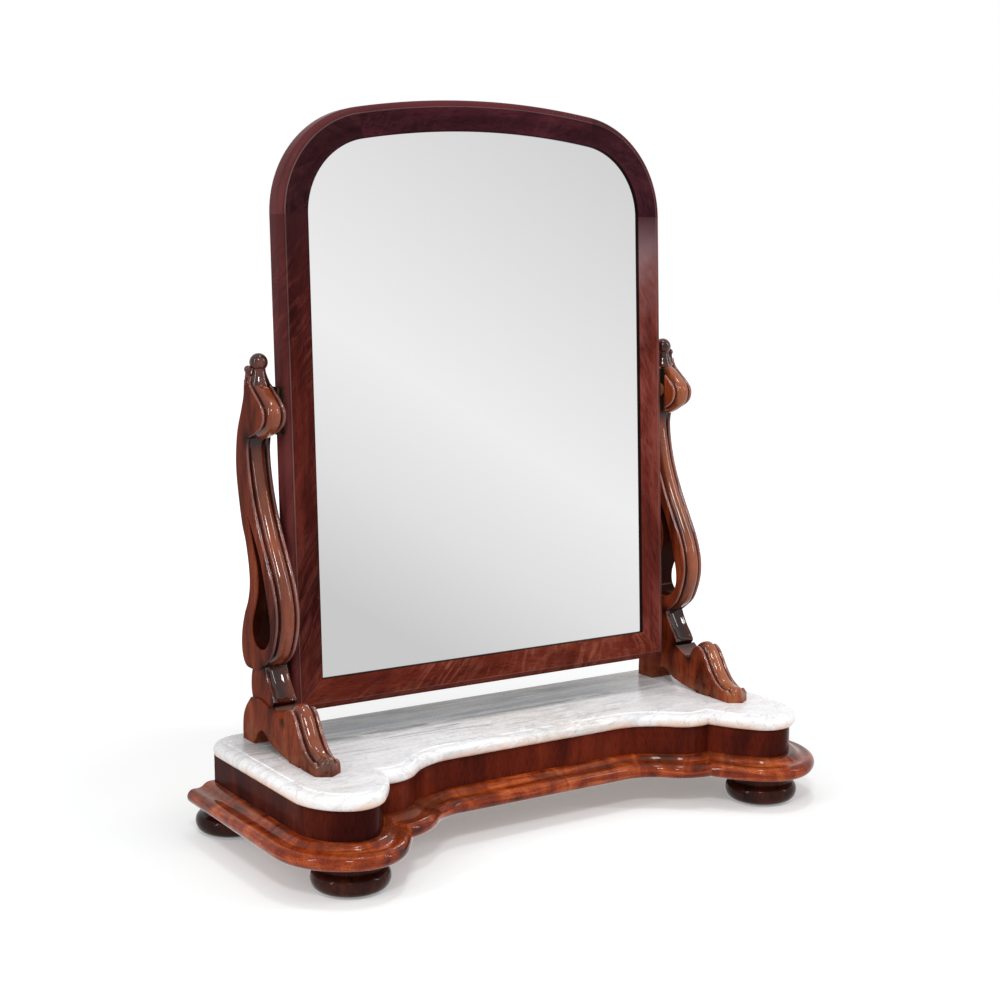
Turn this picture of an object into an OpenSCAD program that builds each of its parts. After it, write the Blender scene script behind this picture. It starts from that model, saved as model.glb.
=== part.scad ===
// Swing toilet mirror on a serpentine box base: arched mahogany frame, two scroll supports, marble top.
// Millimetres. X to the right, Y to the back, Z up, origin on the floor under the middle of the part.

/* [Mirror] */
// Width of the glass that shows
glass_w = 480; // [440:1:520]
// Height of the glass that shows, up to the crown of the arch
glass_h = 654; // [630:1:664]
// Radius of the flat crown of the glass
crown_r = 1030; // [900:5:1200]
// Radius of the two shoulders of the glass
shoulder_r = 90; // [70:1:110]
// Thickness of the glass
glass_t = 4; // [3:0.5:5]
// Width of the frame members
frame_w = 38; // [34:1:42]
// Thickness of the frame members
frame_t = 26; // [24:1:30]
// Radius worked on the outer front edge of the frame
arris_r = 8; // [4:0.5:10]
// Width of the rebate that takes the glass
rebate_w = 8; // [6:0.5:10]
// Thickness of the lip in front of the glass
lip_t = 3; // [2:0.5:5]
// Thickness of the backboard
backboard_t = 7; // [5:0.5:9]
// Distance from the edge of the backboard to the edge of the frame
backboard_margin = 12; // [10:0.5:14]
// Thickness of the wedges behind the glass
wedge_t = 8; // [5:0.5:12]
// Length of the wedges behind the glass
wedge_l = 40; // [25:1:60]

/* [Pivots] */
// Gap between the lower edge of the mirror frame and the marble
mirror_clear = 38; // [30:1:44]
// Angle that the mirror leans back at rest
rest_tilt = 2.1; // [0:0.1:6]
// Radius of the pivot studs
stud_r = 5; // [4:0.25:5.5]
// Length of the studs inside the supports
stud_in = 11; // [8:0.5:13]
// Gap between the frame and each support
pivot_gap = 5.5; // [4:0.25:8]
// Radius of the leather friction washers
washer_r = 9.5; // [8:0.25:11]
// Length of the brass pivot plates
plate_l = 56; // [50:1:64]
// Width of the brass pivot plates
plate_w = 17; // [16:0.5:20]
// Thickness of the brass plates
plate_t = 2.5; // [2:0.25:3.5]

/* [Supports] */
// Thickness of the scroll supports
support_t = 33; // [30:1:38]
// Height of the scroll supports up to the seat of the finial
support_h = 441; // [434:1:460]
// Depth of the scroll supports from toe to heel
support_d = 195.5; // [185:0.5:205]
// Distance from the heels of the supports to the back of the case
heel_back = 11.5; // [6:0.5:20]
// Depth of the grooves along the moulded front edge
groove_d = 2.5; // [1:0.25:4]
// Width of the grooves along the moulded front edge
groove_w = 4; // [3:0.5:5]
// Width of the outer beads along the moulded front edge
bead_w = 4.5; // [3:0.5:6]
// How far the wide middle of the moulded front edge swells out past the beads
middle_rise = 4; // [2:0.5:5]
// Radius of the ball finials
ball_r = 11; // [9:0.5:13]
// Radius of the long screws that hold the supports
long_screw_r = 2.75; // [2:0.25:3.5]

/* [Marble] */
// Thickness of the marble
marble_t = 17; // [14:0.5:22]
// Overhang of the marble beyond the frieze
marble_over = 7; // [4:0.5:9]
// Overhang of the marble beyond the back of the case
marble_back = 20; // [14:0.5:26]
// Radius of the back corners of the marble
marble_corner_r = 36; // [20:1:50]

/* [Base] */
// Distance from the middle of each support to the end of the case
end_margin = 50; // [46:1:56]
// Depth of the case at its two lobes
case_d = 288; // [280:1:300]
// Radius of the nose of each lobe
lobe_r = 34; // [30:1:38]
// Distance from the end of the case to the middle of the nose
lobe_in = 51; // [48:1:56]
// Radius of the outer side of each lobe
lobe_outer_r = 70; // [64:1:80]
// Radius of the long curve on the inner side of each lobe
lobe_inner_r = 200; // [150:5:260]
// Angle at which the inner side runs out of the nose
lobe_turn = 40; // [35:1:45]
// Setback of the middle of the front behind the lobes
centre_back = 114; // [108:1:120]
// Half width of the straight stretch in the middle
centre_half = 120; // [100:1:124]
// Reach of the rounded ears forward of the middle
ear_out = 46; // [42:1:50]
// Radius of the rounded ears
ear_r = 46; // [44:1:52]
// Distance from the end of the case to the middle of the ear
ear_in = 124; // [121:1:127]
// Height of the frieze
frieze_h = 36; // [30:1:50]
// Thickness of the frieze pieces
frieze_t = 14; // [10:0.5:15]
// Thickness of the rail at the back
back_rail_t = 16; // [12:1:22]
// Overhang of the plinth beyond the back of the case
plinth_back = 8; // [4:0.5:12]
// Height of the plinth moulding
plinth_h = 25; // [23:1:30]
// Reach of the plinth moulding beyond the frieze
plinth_out = 33; // [28:1:38]
// Part of the plinth moulding that lies under the frieze
plinth_in = 12; // [8:0.5:13]
// Thickness of the bottom board
bottom_t = 15; // [12:0.5:17]
// Width of the bearers under the marble
bearer_w = 50; // [40:1:60]
// Thickness of the bearers under the marble
bearer_t = 20; // [16:1:24]
// Side of the square glue blocks
glue_block = 16; // [12:1:18]

/* [Feet] */
// Radius of the bun feet
bun_r = 46; // [40:1:50]
// Height of the bun feet
bun_h = 39; // [36:1:46]
// Radius of the spigots on the feet
spigot_r = 7; // [5:0.5:8]
// Distance from the end of the case to the axis of a back foot
back_foot_in = 23; // [22:1:40]
// Distance from the back of the plinth to the axis of a back foot
back_foot_in_y = 9; // [9:1:40]

/* [Hidden] */

// Finish colours
flame_red = "#5a1f18";
scroll_red = "#7a3a22";
plinth_red = "#8a351c";
dark_red = "#3d1613";
bun_brown = "#2a1412";
pine = "#c9a673";
brass = "#b08d4a";
iron = "#6b6b6e";
marble = "#eceae6";

// Clearances
running = 0.05;
ease = 0.1;
seat_gap = 0.25;
tiny = 0.01;

// Heights, from the floor up
plinth_z = bun_h;
frieze_z = plinth_z + plinth_h;
marble_z = frieze_z + frieze_h;
top_z = marble_z + marble_t;

// Plan of the case, seen from above
frame_half = glass_w / 2 + frame_w;
support_x = frame_half + pivot_gap + support_t / 2;
case_x = support_x + end_margin;
foot_proud = bun_r + plinth_back - back_foot_in_y;
back_y = (case_d + plinth_out - foot_proud) / 2;
lobe_y = back_y - case_d;
centre_y = lobe_y + centre_back;
ear_x = case_x - ear_in;
ear_y = centre_y - ear_out + ear_r;
hollow_dx = ear_x - centre_half;
hollow_h = ear_r - ear_out;
hollow_r = (hollow_dx * hollow_dx + hollow_h * hollow_h - ear_r * ear_r) / (2 * ear_out);
hollow_a = atan2(hollow_r + hollow_h, hollow_dx);
nose_x = case_x - lobe_in;
nose_y = lobe_y + lobe_r;
outer_a = acos((lobe_outer_r - lobe_in) / (lobe_outer_r - lobe_r));
outer_y = nose_y + (lobe_outer_r - lobe_r) * sin(outer_a);
inner_x = nose_x + (lobe_inner_r - lobe_r) * cos(lobe_turn);
inner_y = nose_y + (lobe_inner_r - lobe_r) * sin(lobe_turn);
arc_steps = 8;

// Right half of the plan, d outside the face of the frieze: centre, then ear, then lobe
function arc(cx, cy, r, a0, a1, n) = [for (i = [0 : n]) let (a = a0 + (a1 - a0) * i / n)
    [cx + r * cos(a), cy + r * sin(a)]];
// The crease is where the lobe meets the ear: the lower crossing of two circles
ear_gap = norm([ear_x - inner_x, ear_y - inner_y]);
ear_dir = [ear_x - inner_x, ear_y - inner_y] / ear_gap;
function crease_run(d) =
    (pow(lobe_inner_r + d, 2) - pow(ear_r + d, 2) + ear_gap * ear_gap) / (2 * ear_gap);
function crease_drop(d) = sqrt(pow(lobe_inner_r + d, 2) - pow(crease_run(d), 2));
function crease(d) = [
    inner_x + crease_run(d) * ear_dir[0] - crease_drop(d) * ear_dir[1],
    inner_y + crease_run(d) * ear_dir[1] + crease_drop(d) * ear_dir[0]
];
function ear_end(d) = atan2(crease(d)[1] - ear_y, crease(d)[0] - ear_x);
function lobe_start(d) = atan2(crease(d)[1] - inner_y, crease(d)[0] - inner_x) + 360;
function centre_half_plan(d) = concat(
    arc(centre_half, centre_y - hollow_r, hollow_r - d, 90, hollow_a, arc_steps),
    arc(ear_x, ear_y, ear_r + d, hollow_a - 180, ear_end(d), arc_steps)
);
function lobe_front(d) = concat(
    arc(inner_x, inner_y, lobe_inner_r + d, lobe_start(d), 180 + lobe_turn, 3),
    drop_first(arc(nose_x, nose_y, lobe_r + d, 180 + lobe_turn, 360 - outer_a, 9)),
    drop_first(arc(case_x - lobe_outer_r, outer_y, lobe_outer_r + d, 360 - outer_a, 360, 5))
);
function lobe_plan(d, y = back_y) = concat(lobe_front(d), [[case_x + d, y]]);
function drop_first(p) = [for (i = [1 : len(p) - 1]) p[i]];
function reversed(p) = [for (i = [len(p) - 1 : -1 : 0]) p[i]];
function left_of(p) = [for (q = reversed(p)) [-q[0], q[1]]];
function centre_plan(d) = concat(left_of(centre_half_plan(d)), centre_half_plan(d));
function front_plan(lobe, centre) = concat(left_of(lobe),
    [for (i = [1 : len(centre) - 2]) centre[i]], lobe);
plinth_y = back_y + plinth_back;
function board_plan(d) = front_plan(lobe_plan(d, plinth_y), centre_plan(d));
// The marble also runs past the back of the case and round its two back corners
marble_y = back_y + marble_back - marble_over;
function marble_lobe(d) = concat(lobe_front(d),
    arc(case_x - marble_corner_r, marble_y - marble_corner_r, marble_corner_r + d, 0, 90, 6));
function marble_plan(d) = front_plan(marble_lobe(d), centre_plan(d));

// A moulding: a closed section of [offset, height] points carried along a stretch of the plan
// A ring is carried all the way round; other mouldings end in a fan of faces from the last point,
// so that two of them meet without a gap on the curved mitre
module moulding(section, path, ring = false) {
    m = len(section);
    n = len(path[0]);
    points = [for (i = [0 : n - 1]) for (j = [0 : m - 1])
        [path[j][i][0], path[j][i][1], section[j][1]]];
    sides = [for (i = [0 : n - (ring ? 1 : 2)]) for (j = [0 : m - 1])
        for (f = [[0, m, 1], [1, m, m + 1]])
        [for (k = f) ((i + (k >= m ? 1 : 0)) % n) * m + (j + k % m) % m]];
    ends = [for (j = [0 : m - 3])
        for (f = [[m - 1, j, j + 1], [n * m - 1, (n - 1) * m + j + 1, (n - 1) * m + j]]) f];
    polyhedron(points, ring ? sides : concat(sides, ends), convexity = 6);
}

// Section of the plinth: a small round at the frieze, a cove, then a full round nose over a flat bottom
plinth_shape = [
    [0, 0], [4.5, -0.3], [8, -1.4], [11, -3.6], [14, -5.4], [18, -6.2], [23, -6.2], [27.5, -7.4],
    [31, -10], [33, -14], [32.3, -18.5], [29, -22.5], [24.5, -25]
];
plinth_section = concat(
    [[-plinth_in, frieze_z]],
    [for (p = plinth_shape) [p[0] * plinth_out / 33, frieze_z + p[1] * plinth_h / 25]],
    [[-plinth_in, plinth_z]]
);

module frieze_band(outer, inner) {
    color(dark_red) translate([0, 0, frieze_z]) linear_extrude(frieze_h)
        polygon(concat(outer, reversed(inner)));
}

// Places of the long screws through each support, as distances behind the pivot axis
front_screw_y = -96;
back_screw_y = 26;
screw_places = [at(front_screw_y, 0)[0], at(back_screw_y, 0)[0]];
screw_head_h = 3.5;
screw_bite = 24;

// Section of the marble edge, a thumb moulding with a small step up to the flat
marble_shape = [[2.5, 0], [4.6, 1.6], [5.7, 4], [6, 7], [5.3, 10.2], [3.4, 12.8], [0.4, 14.8],
    [-3.6, 15.9], [-8, 16.2], [-9, 17]];
edge_band = 13;
band_lap = 1;
marble_section = concat(
    [for (p = reversed(marble_shape)) [p[0] - 6 + marble_over, marble_z + p[1] * marble_t / 17]],
    [[-edge_band, marble_z], [-edge_band, top_z]]
);

module marble_top() {
    color(marble)
    difference() {
        union() {
            translate([0, 0, marble_z]) linear_extrude(marble_t)
                polygon(marble_plan(band_lap - edge_band));
            moulding(marble_section, [for (s = marble_section) marble_plan(s[0])], ring = true);
        }
        for (side = [-1, 1]) for (y = screw_places)
            translate([side * support_x, pivot_y + y, marble_z - 1])
                cylinder(r = long_screw_r + ease, h = marble_t + 2, $fn = 32);
    }
}

module frieze_centre() {
    frieze_band(centre_plan(0), centre_plan(-frieze_t));
}

module frieze_right() {
    frieze_band(lobe_plan(0), lobe_plan(-frieze_t));
}

module frieze_left() {
    mirror([1, 0, 0]) frieze_right();
}

module back_rail() {
    color(pine)
    translate([-(case_x - frieze_t), back_y - back_rail_t, frieze_z])
        cube([2 * (case_x - frieze_t), back_rail_t, frieze_h]);
}

module bottom_board() {
    color(pine)
    difference() {
        translate([0, 0, frieze_z - bottom_t]) linear_extrude(bottom_t) polygon(board_plan(-plinth_in));
        for (p = foot_places) translate([p[0], p[1], frieze_z - bottom_t - 1])
            cylinder(r = spigot_r + ease, h = bottom_t + 2, $fn = 48);
    }
}

module plinth_centre() {
    color(plinth_red) moulding(plinth_section, [for (s = plinth_section) centre_plan(s[0])]);
}

module plinth_right() {
    color(plinth_red) moulding(plinth_section, [for (s = plinth_section) lobe_plan(s[0], plinth_y)]);
}

module plinth_left() {
    mirror([1, 0, 0]) plinth_right();
}

// Bearers lie under the marble, from the back rail to the inside of the lobe
bearer_clear = 8;
module bearer_right() {
    front = nose_y + frieze_t + bearer_clear;
    color(pine)
    difference() {
        translate([support_x - bearer_w / 2, front, marble_z - bearer_t])
            cube([bearer_w, back_y - back_rail_t - front, bearer_t]);
        for (y = screw_places) translate([support_x, pivot_y + y, marble_z - bearer_t - 1]) {
            cylinder(r = long_screw_r + ease, h = bearer_t + 2, $fn = 32);
            cylinder(r = 2 * long_screw_r + ease, h = screw_head_h + 1 + ease, $fn = 32);
        }
    }
}

module bearer_left() {
    mirror([1, 0, 0]) bearer_right();
}

// Square blocks glued in the corner between the bottom board, the frieze and the back rail
block_drop = 6;
module glue_blocks() {
    step = centre_half / 2;
    color(pine) {
        for (x = [-1.5 : 1 : 1.5])
            translate([x * step - glue_block / 2, centre_y + frieze_t, frieze_z])
            cube([glue_block, glue_block, frieze_h - block_drop]);
        for (x = [-1.5 : 1 : 1.5])
            translate([x * step - glue_block / 2, back_y - back_rail_t - glue_block, frieze_z])
            cube([glue_block, glue_block, frieze_h - block_drop]);
    }
}

// Places of the four feet: front left, front right, back left, back right
foot_places = [
    [-nose_x, nose_y],
    [nose_x, nose_y],
    [-(case_x - back_foot_in), plinth_y - back_foot_in_y],
    [case_x - back_foot_in, plinth_y - back_foot_in_y]
];
foot_block_h = plinth_h - bottom_t;
foot_block_r = 21;

// Blocks under the bottom board that take the spigots of the feet
module foot_blocks() {
    color(pine)
    difference() {
        intersection() {
            for (p = foot_places) translate([p[0], p[1], plinth_z])
                cylinder(r = foot_block_r, h = foot_block_h, $fn = 64);
            translate([0, 0, plinth_z - 1]) linear_extrude(plinth_h)
                polygon(board_plan(-plinth_in - seat_gap));
        }
        for (p = foot_places) translate([p[0], p[1], plinth_z - 1])
            cylinder(r = spigot_r + ease, h = foot_block_h + 2, $fn = 48);
    }
}

// Turned bun foot: flat tread, full round side, shoulder, waist and spigot
bun_shape = [[0.57, 0], [0.8, 0.045], [0.94, 0.16], [1, 0.34], [0.985, 0.5], [0.925, 0.6],
    [0.83, 0.655], [0.8, 0.7], [0.815, 1]];
// The lower seven points run as one round
function bun_profile(p) = concat(curve([for (i = [0 : 6]) p[i]], 2), [p[7], p[8]]);
module bun_foot(i) {
    profile = concat(
        [[0, 0]],
        bun_profile([for (p = bun_shape) [p[0] * bun_r, p[1] * bun_h]]),
        [[spigot_r, bun_h], [spigot_r, bun_h + foot_block_h + bottom_t - 1],
            [0, bun_h + foot_block_h + bottom_t - 1]]
    );
    color(bun_brown)
    translate([foot_places[i][0], foot_places[i][1], 0]) rotate_extrude($fn = 72) polygon(profile);
}

module foot_front_left() {
    bun_foot(0);
}

module foot_front_right() {
    bun_foot(1);
}

module foot_back_left() {
    bun_foot(2);
}

module foot_back_right() {
    bun_foot(3);
}

// Scroll support, drawn from the side as [behind the pivot axis, above the marble]
// The drawing is 195.5 deep and 441 high and is scaled to the support's own depth and height
pivot_draw_z = 400;
function at(v, w) = [v * support_d / 195.5, w * support_h / 441];
function mix(p, i) = p[max(0, min(len(p) - 1, i))];
function curve(p, n) = concat(
    [for (i = [0 : len(p) - 2]) for (k = [0 : n - 1]) let (t = k / n)
        (2 * mix(p, i) + (mix(p, i + 1) - mix(p, i - 1)) * t
        + (2 * mix(p, i - 1) - 5 * mix(p, i) + 4 * mix(p, i + 1) - mix(p, i + 2)) * t * t
        + (3 * mix(p, i) - mix(p, i - 1) - 3 * mix(p, i + 1) + mix(p, i + 2)) * t * t * t) / 2],
    [p[len(p) - 1]]
);
function drawn(p, n) = curve([for (q = p) at(q[0], q[1])], n);
function chain(a, b) = concat(a, drop_first(b));

nose_line = [[11, 441], [6, 430.5], [-7, 420.5], [-19, 411.5], [-27.5, 402.5], [-28, 392],
    [-22.5, 383.5], [-11, 376.5], [3, 371], [15, 367]];
loop_front = [[15, 367], [16.5, 352], [13, 326], [3.5, 294], [-12, 261], [-30, 230], [-45, 203],
    [-54, 178], [-55.5, 156], [-50, 135], [-39, 115], [-18, 99]];
collar_front = [[-18, 99], [-22.5, 90], [-29.5, 79], [-38, 69], [-43, 61]];
scoop_front = [[-40, 55.5], [-50, 51], [-60, 47], [-70, 45]];
knee_line = [[-70, 45], [-73.5, 51.5], [-79.5, 59.5], [-88.5, 63.5], [-97.5, 58.5], [-104, 50],
    [-110, 40.5], [-116.5, 31.5], [-124, 23.5], [-133, 17.5], [-142, 14.5], [-148, 14], [-152, 10]];
arch_under = [[-86, 0], [-84, 1.6], [-60, 4.8], [-36, 11], [-24, 18.5], [-15, 21], [-6, 18],
    [2, 10], [9, 0]];
heel_line = [[40, 0], [40, 15], [37.5, 30], [29.5, 43], [16, 56]];
collar_back = [[16, 56], [19, 66], [18.5, 80], [15, 91]];
loop_back = [[15, 91], [27, 92], [35, 99], [39, 113], [37, 133], [28, 155], [17, 173], [12, 193],
    [14, 216], [21, 243], [30, 263], [37, 291], [43, 323], [43.5, 349], [38, 376], [28, 401],
    [22, 420], [22, 436]];
slot_line = [[16, 276], [4, 246], [-7, 218], [-10, 200], [-7, 182], [1, 165], [8, 149], [8, 134],
    [0, 123.5], [-14, 120], [-28, 124], [-38, 136], [-40, 152], [-36, 172], [-30, 191], [-22, 214],
    [-9, 240], [16, 276]];
finial_place = [14, 441];
draw_steps = 2;

front_line = chain(chain(chain(drawn(nose_line, draw_steps), drawn(loop_front, draw_steps)),
    drawn(collar_front, draw_steps)),
    concat([at(-43, 61)], chain(drawn(scoop_front, draw_steps), drawn(knee_line, draw_steps))));
back_line = chain(chain(drawn(heel_line, draw_steps), drawn(collar_back, draw_steps)),
    drawn(loop_back, draw_steps));
under_line = drawn(arch_under, draw_steps);

// The front line moved in by d, square to itself
function moved_in(p, d) = [for (i = [0 : len(p) - 1])
    let (t = mix(p, i + 1) - mix(p, i - 1), u = t / norm(t)) [p[i][0] - d * u[1], p[i][1] + d * u[0]]];

// A stretch of the front line that swells out by up to d and sinks just below it at its two ends
function swelling(p, d) = concat(
    [for (i = [0 : len(p) - 1]) moved_in(p, 0.5 - (d + 0.5) * min(1, i / 3, (len(p) - 1 - i) / 3))[i]],
    [for (q = reversed(moved_in(p, 2 * groove_d))) [q[0], max(1, q[1])]]
);

// Stands a side drawing up in the YZ plane, t thick, centred on X = 0
module upright(t) {
    translate([-t / 2, 0, 0]) rotate([90, 0, 90]) linear_extrude(t) children();
}

pivot_y = back_y - heel_back - at(40, 0)[0];
pivot_z = top_z + at(0, pivot_draw_z)[1];
// Height of the pivots above the lower sight edge of the glass
pivot_h = pivot_z - top_z - mirror_clear - frame_w;

// Two grooves part the wide swelling middle of the front edge from the beads at its sides
module support_right() {
    rest = concat([at(-152, 0)], under_line, back_line);
    core = concat(moved_in(front_line, groove_d), rest);
    full = concat(front_line, rest);
    middle_w = support_t - 2 * (bead_w + groove_w);
    color(scroll_red)
    translate([support_x, pivot_y, top_z])
    difference() {
        union() {
            upright(support_t) polygon(core);
            upright(middle_w) polygon(full);
            for (line = [nose_line, loop_front, knee_line]) upright(middle_w - groove_w)
                polygon(swelling(drawn(line, draw_steps), middle_rise));
            for (side = [-1, 1]) translate([side * (support_t - bead_w) / 2, 0, 0]) upright(bead_w)
                polygon(full);
            translate([side_bead[0], at(finial_place[0], 0)[0] + side_bead[1],
                at(0, finial_place[1])[1] + ball_up + side_bead[2]]) {
                sphere(r = side_bead_r, $fn = 32);
                translate([0, 0, -side_bead_drop])
                    cylinder(r = side_bead_r - 1, h = side_bead_drop, $fn = 32);
            }
        }
        upright(support_t + 2) polygon(drawn(slot_line, draw_steps));
        translate([0, at(finial_place[0], 0)[0], at(0, finial_place[1])[1] - finial_spigot_l - 1])
            cylinder(r = finial_spigot_r + ease, h = finial_spigot_l + 20, $fn = 32);
        translate([0, at(finial_place[0], 0)[0], at(0, finial_place[1])[1]])
            cylinder(r = finial_collar_r + 1, h = 20, $fn = 48);
        for (y = screw_places) translate([0, y, -1])
            cylinder(r = long_screw_r + ease, h = screw_bite + 2, $fn = 32);
        translate([-support_t / 2, 0, pivot_z - top_z]) {
            translate([-1, -plate_w / 2 - ease, -plate_l / 2 - ease])
                cube([plate_t + 1, plate_w + 2 * ease, plate_l + 2 * ease]);
            rotate([0, 90, 0]) cylinder(r = bush_r + ease, h = stud_in + bush_end + ease, $fn = 48);
            for (z = [-1, 1]) translate([0, 0, z * plate_screw_z]) rotate([0, 90, 0])
                cylinder(r = plate_screw_r + ease, h = plate_t + plate_screw_l + 1, $fn = 24);
        }
    }
}

module support_left() {
    mirror([1, 0, 0]) support_right();
}

finial_spigot_r = 2.5;
finial_spigot_l = 8;
finial_collar_r = 7.5;
finial_collar_h = 5;
ball_up = finial_collar_h + ball_r - 1.5;
// A small bead stands on the outer side of the scroll, close against the ball
side_bead_r = 4.5;
side_bead_drop = 11;
side_bead = (ball_r + side_bead_r + 0.4) * [0.76, 0.28, -0.586];
module finial_right() {
    color(scroll_red)
    translate([support_x, pivot_y + at(finial_place[0], 0)[0], top_z + at(0, finial_place[1])[1]]) {
        translate([0, 0, -finial_spigot_l])
            cylinder(r = finial_spigot_r, h = finial_spigot_l + finial_collar_h, $fn = 32);
        cylinder(r = finial_collar_r, h = finial_collar_h, $fn = 48);
        translate([0, 0, ball_up]) sphere(r = ball_r, $fn = 64);
    }
}

module finial_left() {
    mirror([1, 0, 0]) finial_right();
}

// Long screws up through bearer and marble into each support
module support_screws() {
    color(iron)
    for (side = [-1, 1]) for (y = screw_places)
        translate([side * support_x, pivot_y + y, marble_z - bearer_t]) {
        cylinder(r = 2 * long_screw_r, h = screw_head_h, $fn = 32);
        cylinder(r = long_screw_r, h = bearer_t + marble_t + screw_bite, $fn = 32);
    }
}

// Brass socket let into the inner face of each support: a plate with a bush for the stud
bush_wall = 2.5;
bush_r = stud_r + running + bush_wall;
bush_end = 2;
plate_screw_r = 1.6;
plate_screw_head_r = 3;
plate_screw_l = 11;
plate_screw_z = plate_l / 2 - 7;
module socket_plate_right() {
    color(brass)
    translate([support_x - support_t / 2, pivot_y, pivot_z])
    difference() {
        union() {
            translate([0, -plate_w / 2, -plate_l / 2]) cube([plate_t, plate_w, plate_l]);
            rotate([0, 90, 0]) cylinder(r = bush_r, h = stud_in + bush_end, $fn = 48);
        }
        translate([-1, 0, 0]) rotate([0, 90, 0])
            cylinder(r = stud_r + running, h = stud_in + 1.5, $fn = 48);
        for (z = [-1, 1]) translate([0, 0, z * plate_screw_z]) countersink_hole();
    }
}

module socket_plate_left() {
    mirror([1, 0, 0]) socket_plate_right();
}

// A countersunk hole along X from the face of a plate, and the screw that fills it
module countersink_hole() {
    translate([-tiny, 0, 0]) rotate([0, 90, 0])
        cylinder(r1 = plate_screw_head_r + ease, r2 = plate_screw_r + ease, h = plate_t, $fn = 32);
    translate([-1, 0, 0]) rotate([0, 90, 0])
        cylinder(r = plate_screw_r + ease, h = plate_t + 2, $fn = 32);
}

module plate_screw() {
    rotate([0, 90, 0]) cylinder(r1 = plate_screw_head_r, r2 = plate_screw_r, h = plate_t, $fn = 32);
    rotate([0, 90, 0]) cylinder(r = plate_screw_r, h = plate_t + plate_screw_l, $fn = 32);
}

module socket_screws() {
    color(brass)
    for (side = [0, 1]) mirror([side, 0, 0]) for (z = [-1, 1])
        translate([support_x - support_t / 2, pivot_y, pivot_z + z * plate_screw_z]) plate_screw();
}

// The mirror is drawn upright from its lower sight edge and front face, then hung on the pivots
module hung() {
    translate([0, pivot_y, pivot_z]) rotate([-rest_tilt, 0, 0])
        translate([0, -frame_t / 2, -pivot_h]) children();
}

// Arch of the sight line, moved out by d
arch_x = glass_w / 2 - shoulder_r;
arch_reach = crown_r - shoulder_r;
spring_h = glass_h - crown_r + sqrt(arch_reach * arch_reach - arch_x * arch_x);
crown_a = asin(arch_x / arch_reach);
function arch_right(d) = concat(
    arc(arch_x, spring_h, shoulder_r + d, 0, 90 - crown_a, 16),
    drop_first(arc(0, glass_h - crown_r, crown_r + d, 90 - crown_a, 90, 6))
);
function arch_points(d) = concat([[glass_w / 2 + d, -d]], arch_right(d),
    drop_first(left_of(arch_right(d))), [[-glass_w / 2 - d, -d]]);

// A plate seen from the front: points in X and height, from y0 back by t
module plate(points, y0, t) {
    translate([0, y0 + t, 0]) rotate([90, 0, 0]) linear_extrude(t) polygon(points);
}

// Section of the frame members: out from the sight edge, and back from the face
module member_section() {
    polygon(concat(
        [[0, 0]],
        arc(frame_w - arris_r, arris_r, arris_r, -90, 0, 6),
        [[frame_w, frame_t], [rebate_w, frame_t], [rebate_w, lip_t], [0, lip_t]]
    ));
}

board_edge = frame_w - backboard_margin;
screw_line = (rebate_w + board_edge) / 2;
board_screw_r = 1.5;
board_screw_head_r = 3.2;
board_screw_bite = 14;
stile_screws = [for (h = [0.1, 0.36, 0.62, 0.88]) [glass_w / 2 + screw_line, h * spring_h]];
rail_screws = [for (x = [-0.3, 0, 0.3]) [x * glass_w, -screw_line]];
crown_screws = [for (a = [-0.6, 0.6])
    [(crown_r + screw_line) * sin(a * crown_a),
    glass_h - crown_r + (crown_r + screw_line) * cos(a * crown_a)]];

module board_screw_holes(places) {
    for (p = places) translate([p[0], frame_t + 1, p[1]]) rotate([90, 0, 0])
        cylinder(r = board_screw_r + ease, h = board_screw_bite + 1.5, $fn = 24);
}

module bottom_rail() {
    half = glass_w / 2;
    color(flame_red) hung()
    difference() {
        intersection() {
            translate([-half - frame_w, 0, 0]) rotate([0, 90, 0])
                linear_extrude(2 * (half + frame_w)) member_section();
            plate([[-half, 0], [half, 0], [half + frame_w, -frame_w], [-half - frame_w, -frame_w]],
                -1, frame_t + 2);
        }
        board_screw_holes(rail_screws);
    }
}

module stile_right() {
    half = glass_w / 2;
    color(flame_red) hung()
    difference() {
        intersection() {
            translate([half, 0, -frame_w]) linear_extrude(spring_h + frame_w) member_section();
            plate([[half, 0], [half + frame_w, -frame_w], [half + frame_w, spring_h],
                [half, spring_h]], -1, frame_t + 2);
        }
        board_screw_holes(stile_screws);
        translate([frame_half, frame_t / 2, pivot_h]) {
            translate([-plate_t, -plate_w / 2 - ease, -plate_l / 2 - ease])
                cube([plate_t + 1, plate_w + 2 * ease, plate_l + 2 * ease]);
            for (z = [-1, 1]) translate([1, 0, z * plate_screw_z]) rotate([0, -90, 0])
                cylinder(r = plate_screw_r + ease, h = plate_t + plate_screw_l + 2, $fn = 24);
        }
    }
}

module stile_left() {
    mirror([1, 0, 0]) stile_right();
}

module shoulder_right() {
    color(flame_red) hung()
    translate([arch_x, 0, spring_h]) rotate([90, 0, 0]) rotate_extrude(angle = 90 - crown_a, $fn = 180)
        translate([shoulder_r, 0]) mirror([0, 1]) member_section();
}

module shoulder_left() {
    mirror([1, 0, 0]) shoulder_right();
}

module crown() {
    color(flame_red) hung()
    difference() {
        translate([0, 0, glass_h - crown_r]) rotate([90, 0, 0]) rotate([0, 0, 90 - crown_a])
            rotate_extrude(angle = 2 * crown_a, $fn = 360)
            translate([crown_r, 0]) mirror([0, 1]) member_section();
        board_screw_holes(crown_screws);
    }
}

module mirror_glass() {
    color("#cfd4d6") hung() plate(arch_points(rebate_w - 1), lip_t, glass_t);
}

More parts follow.
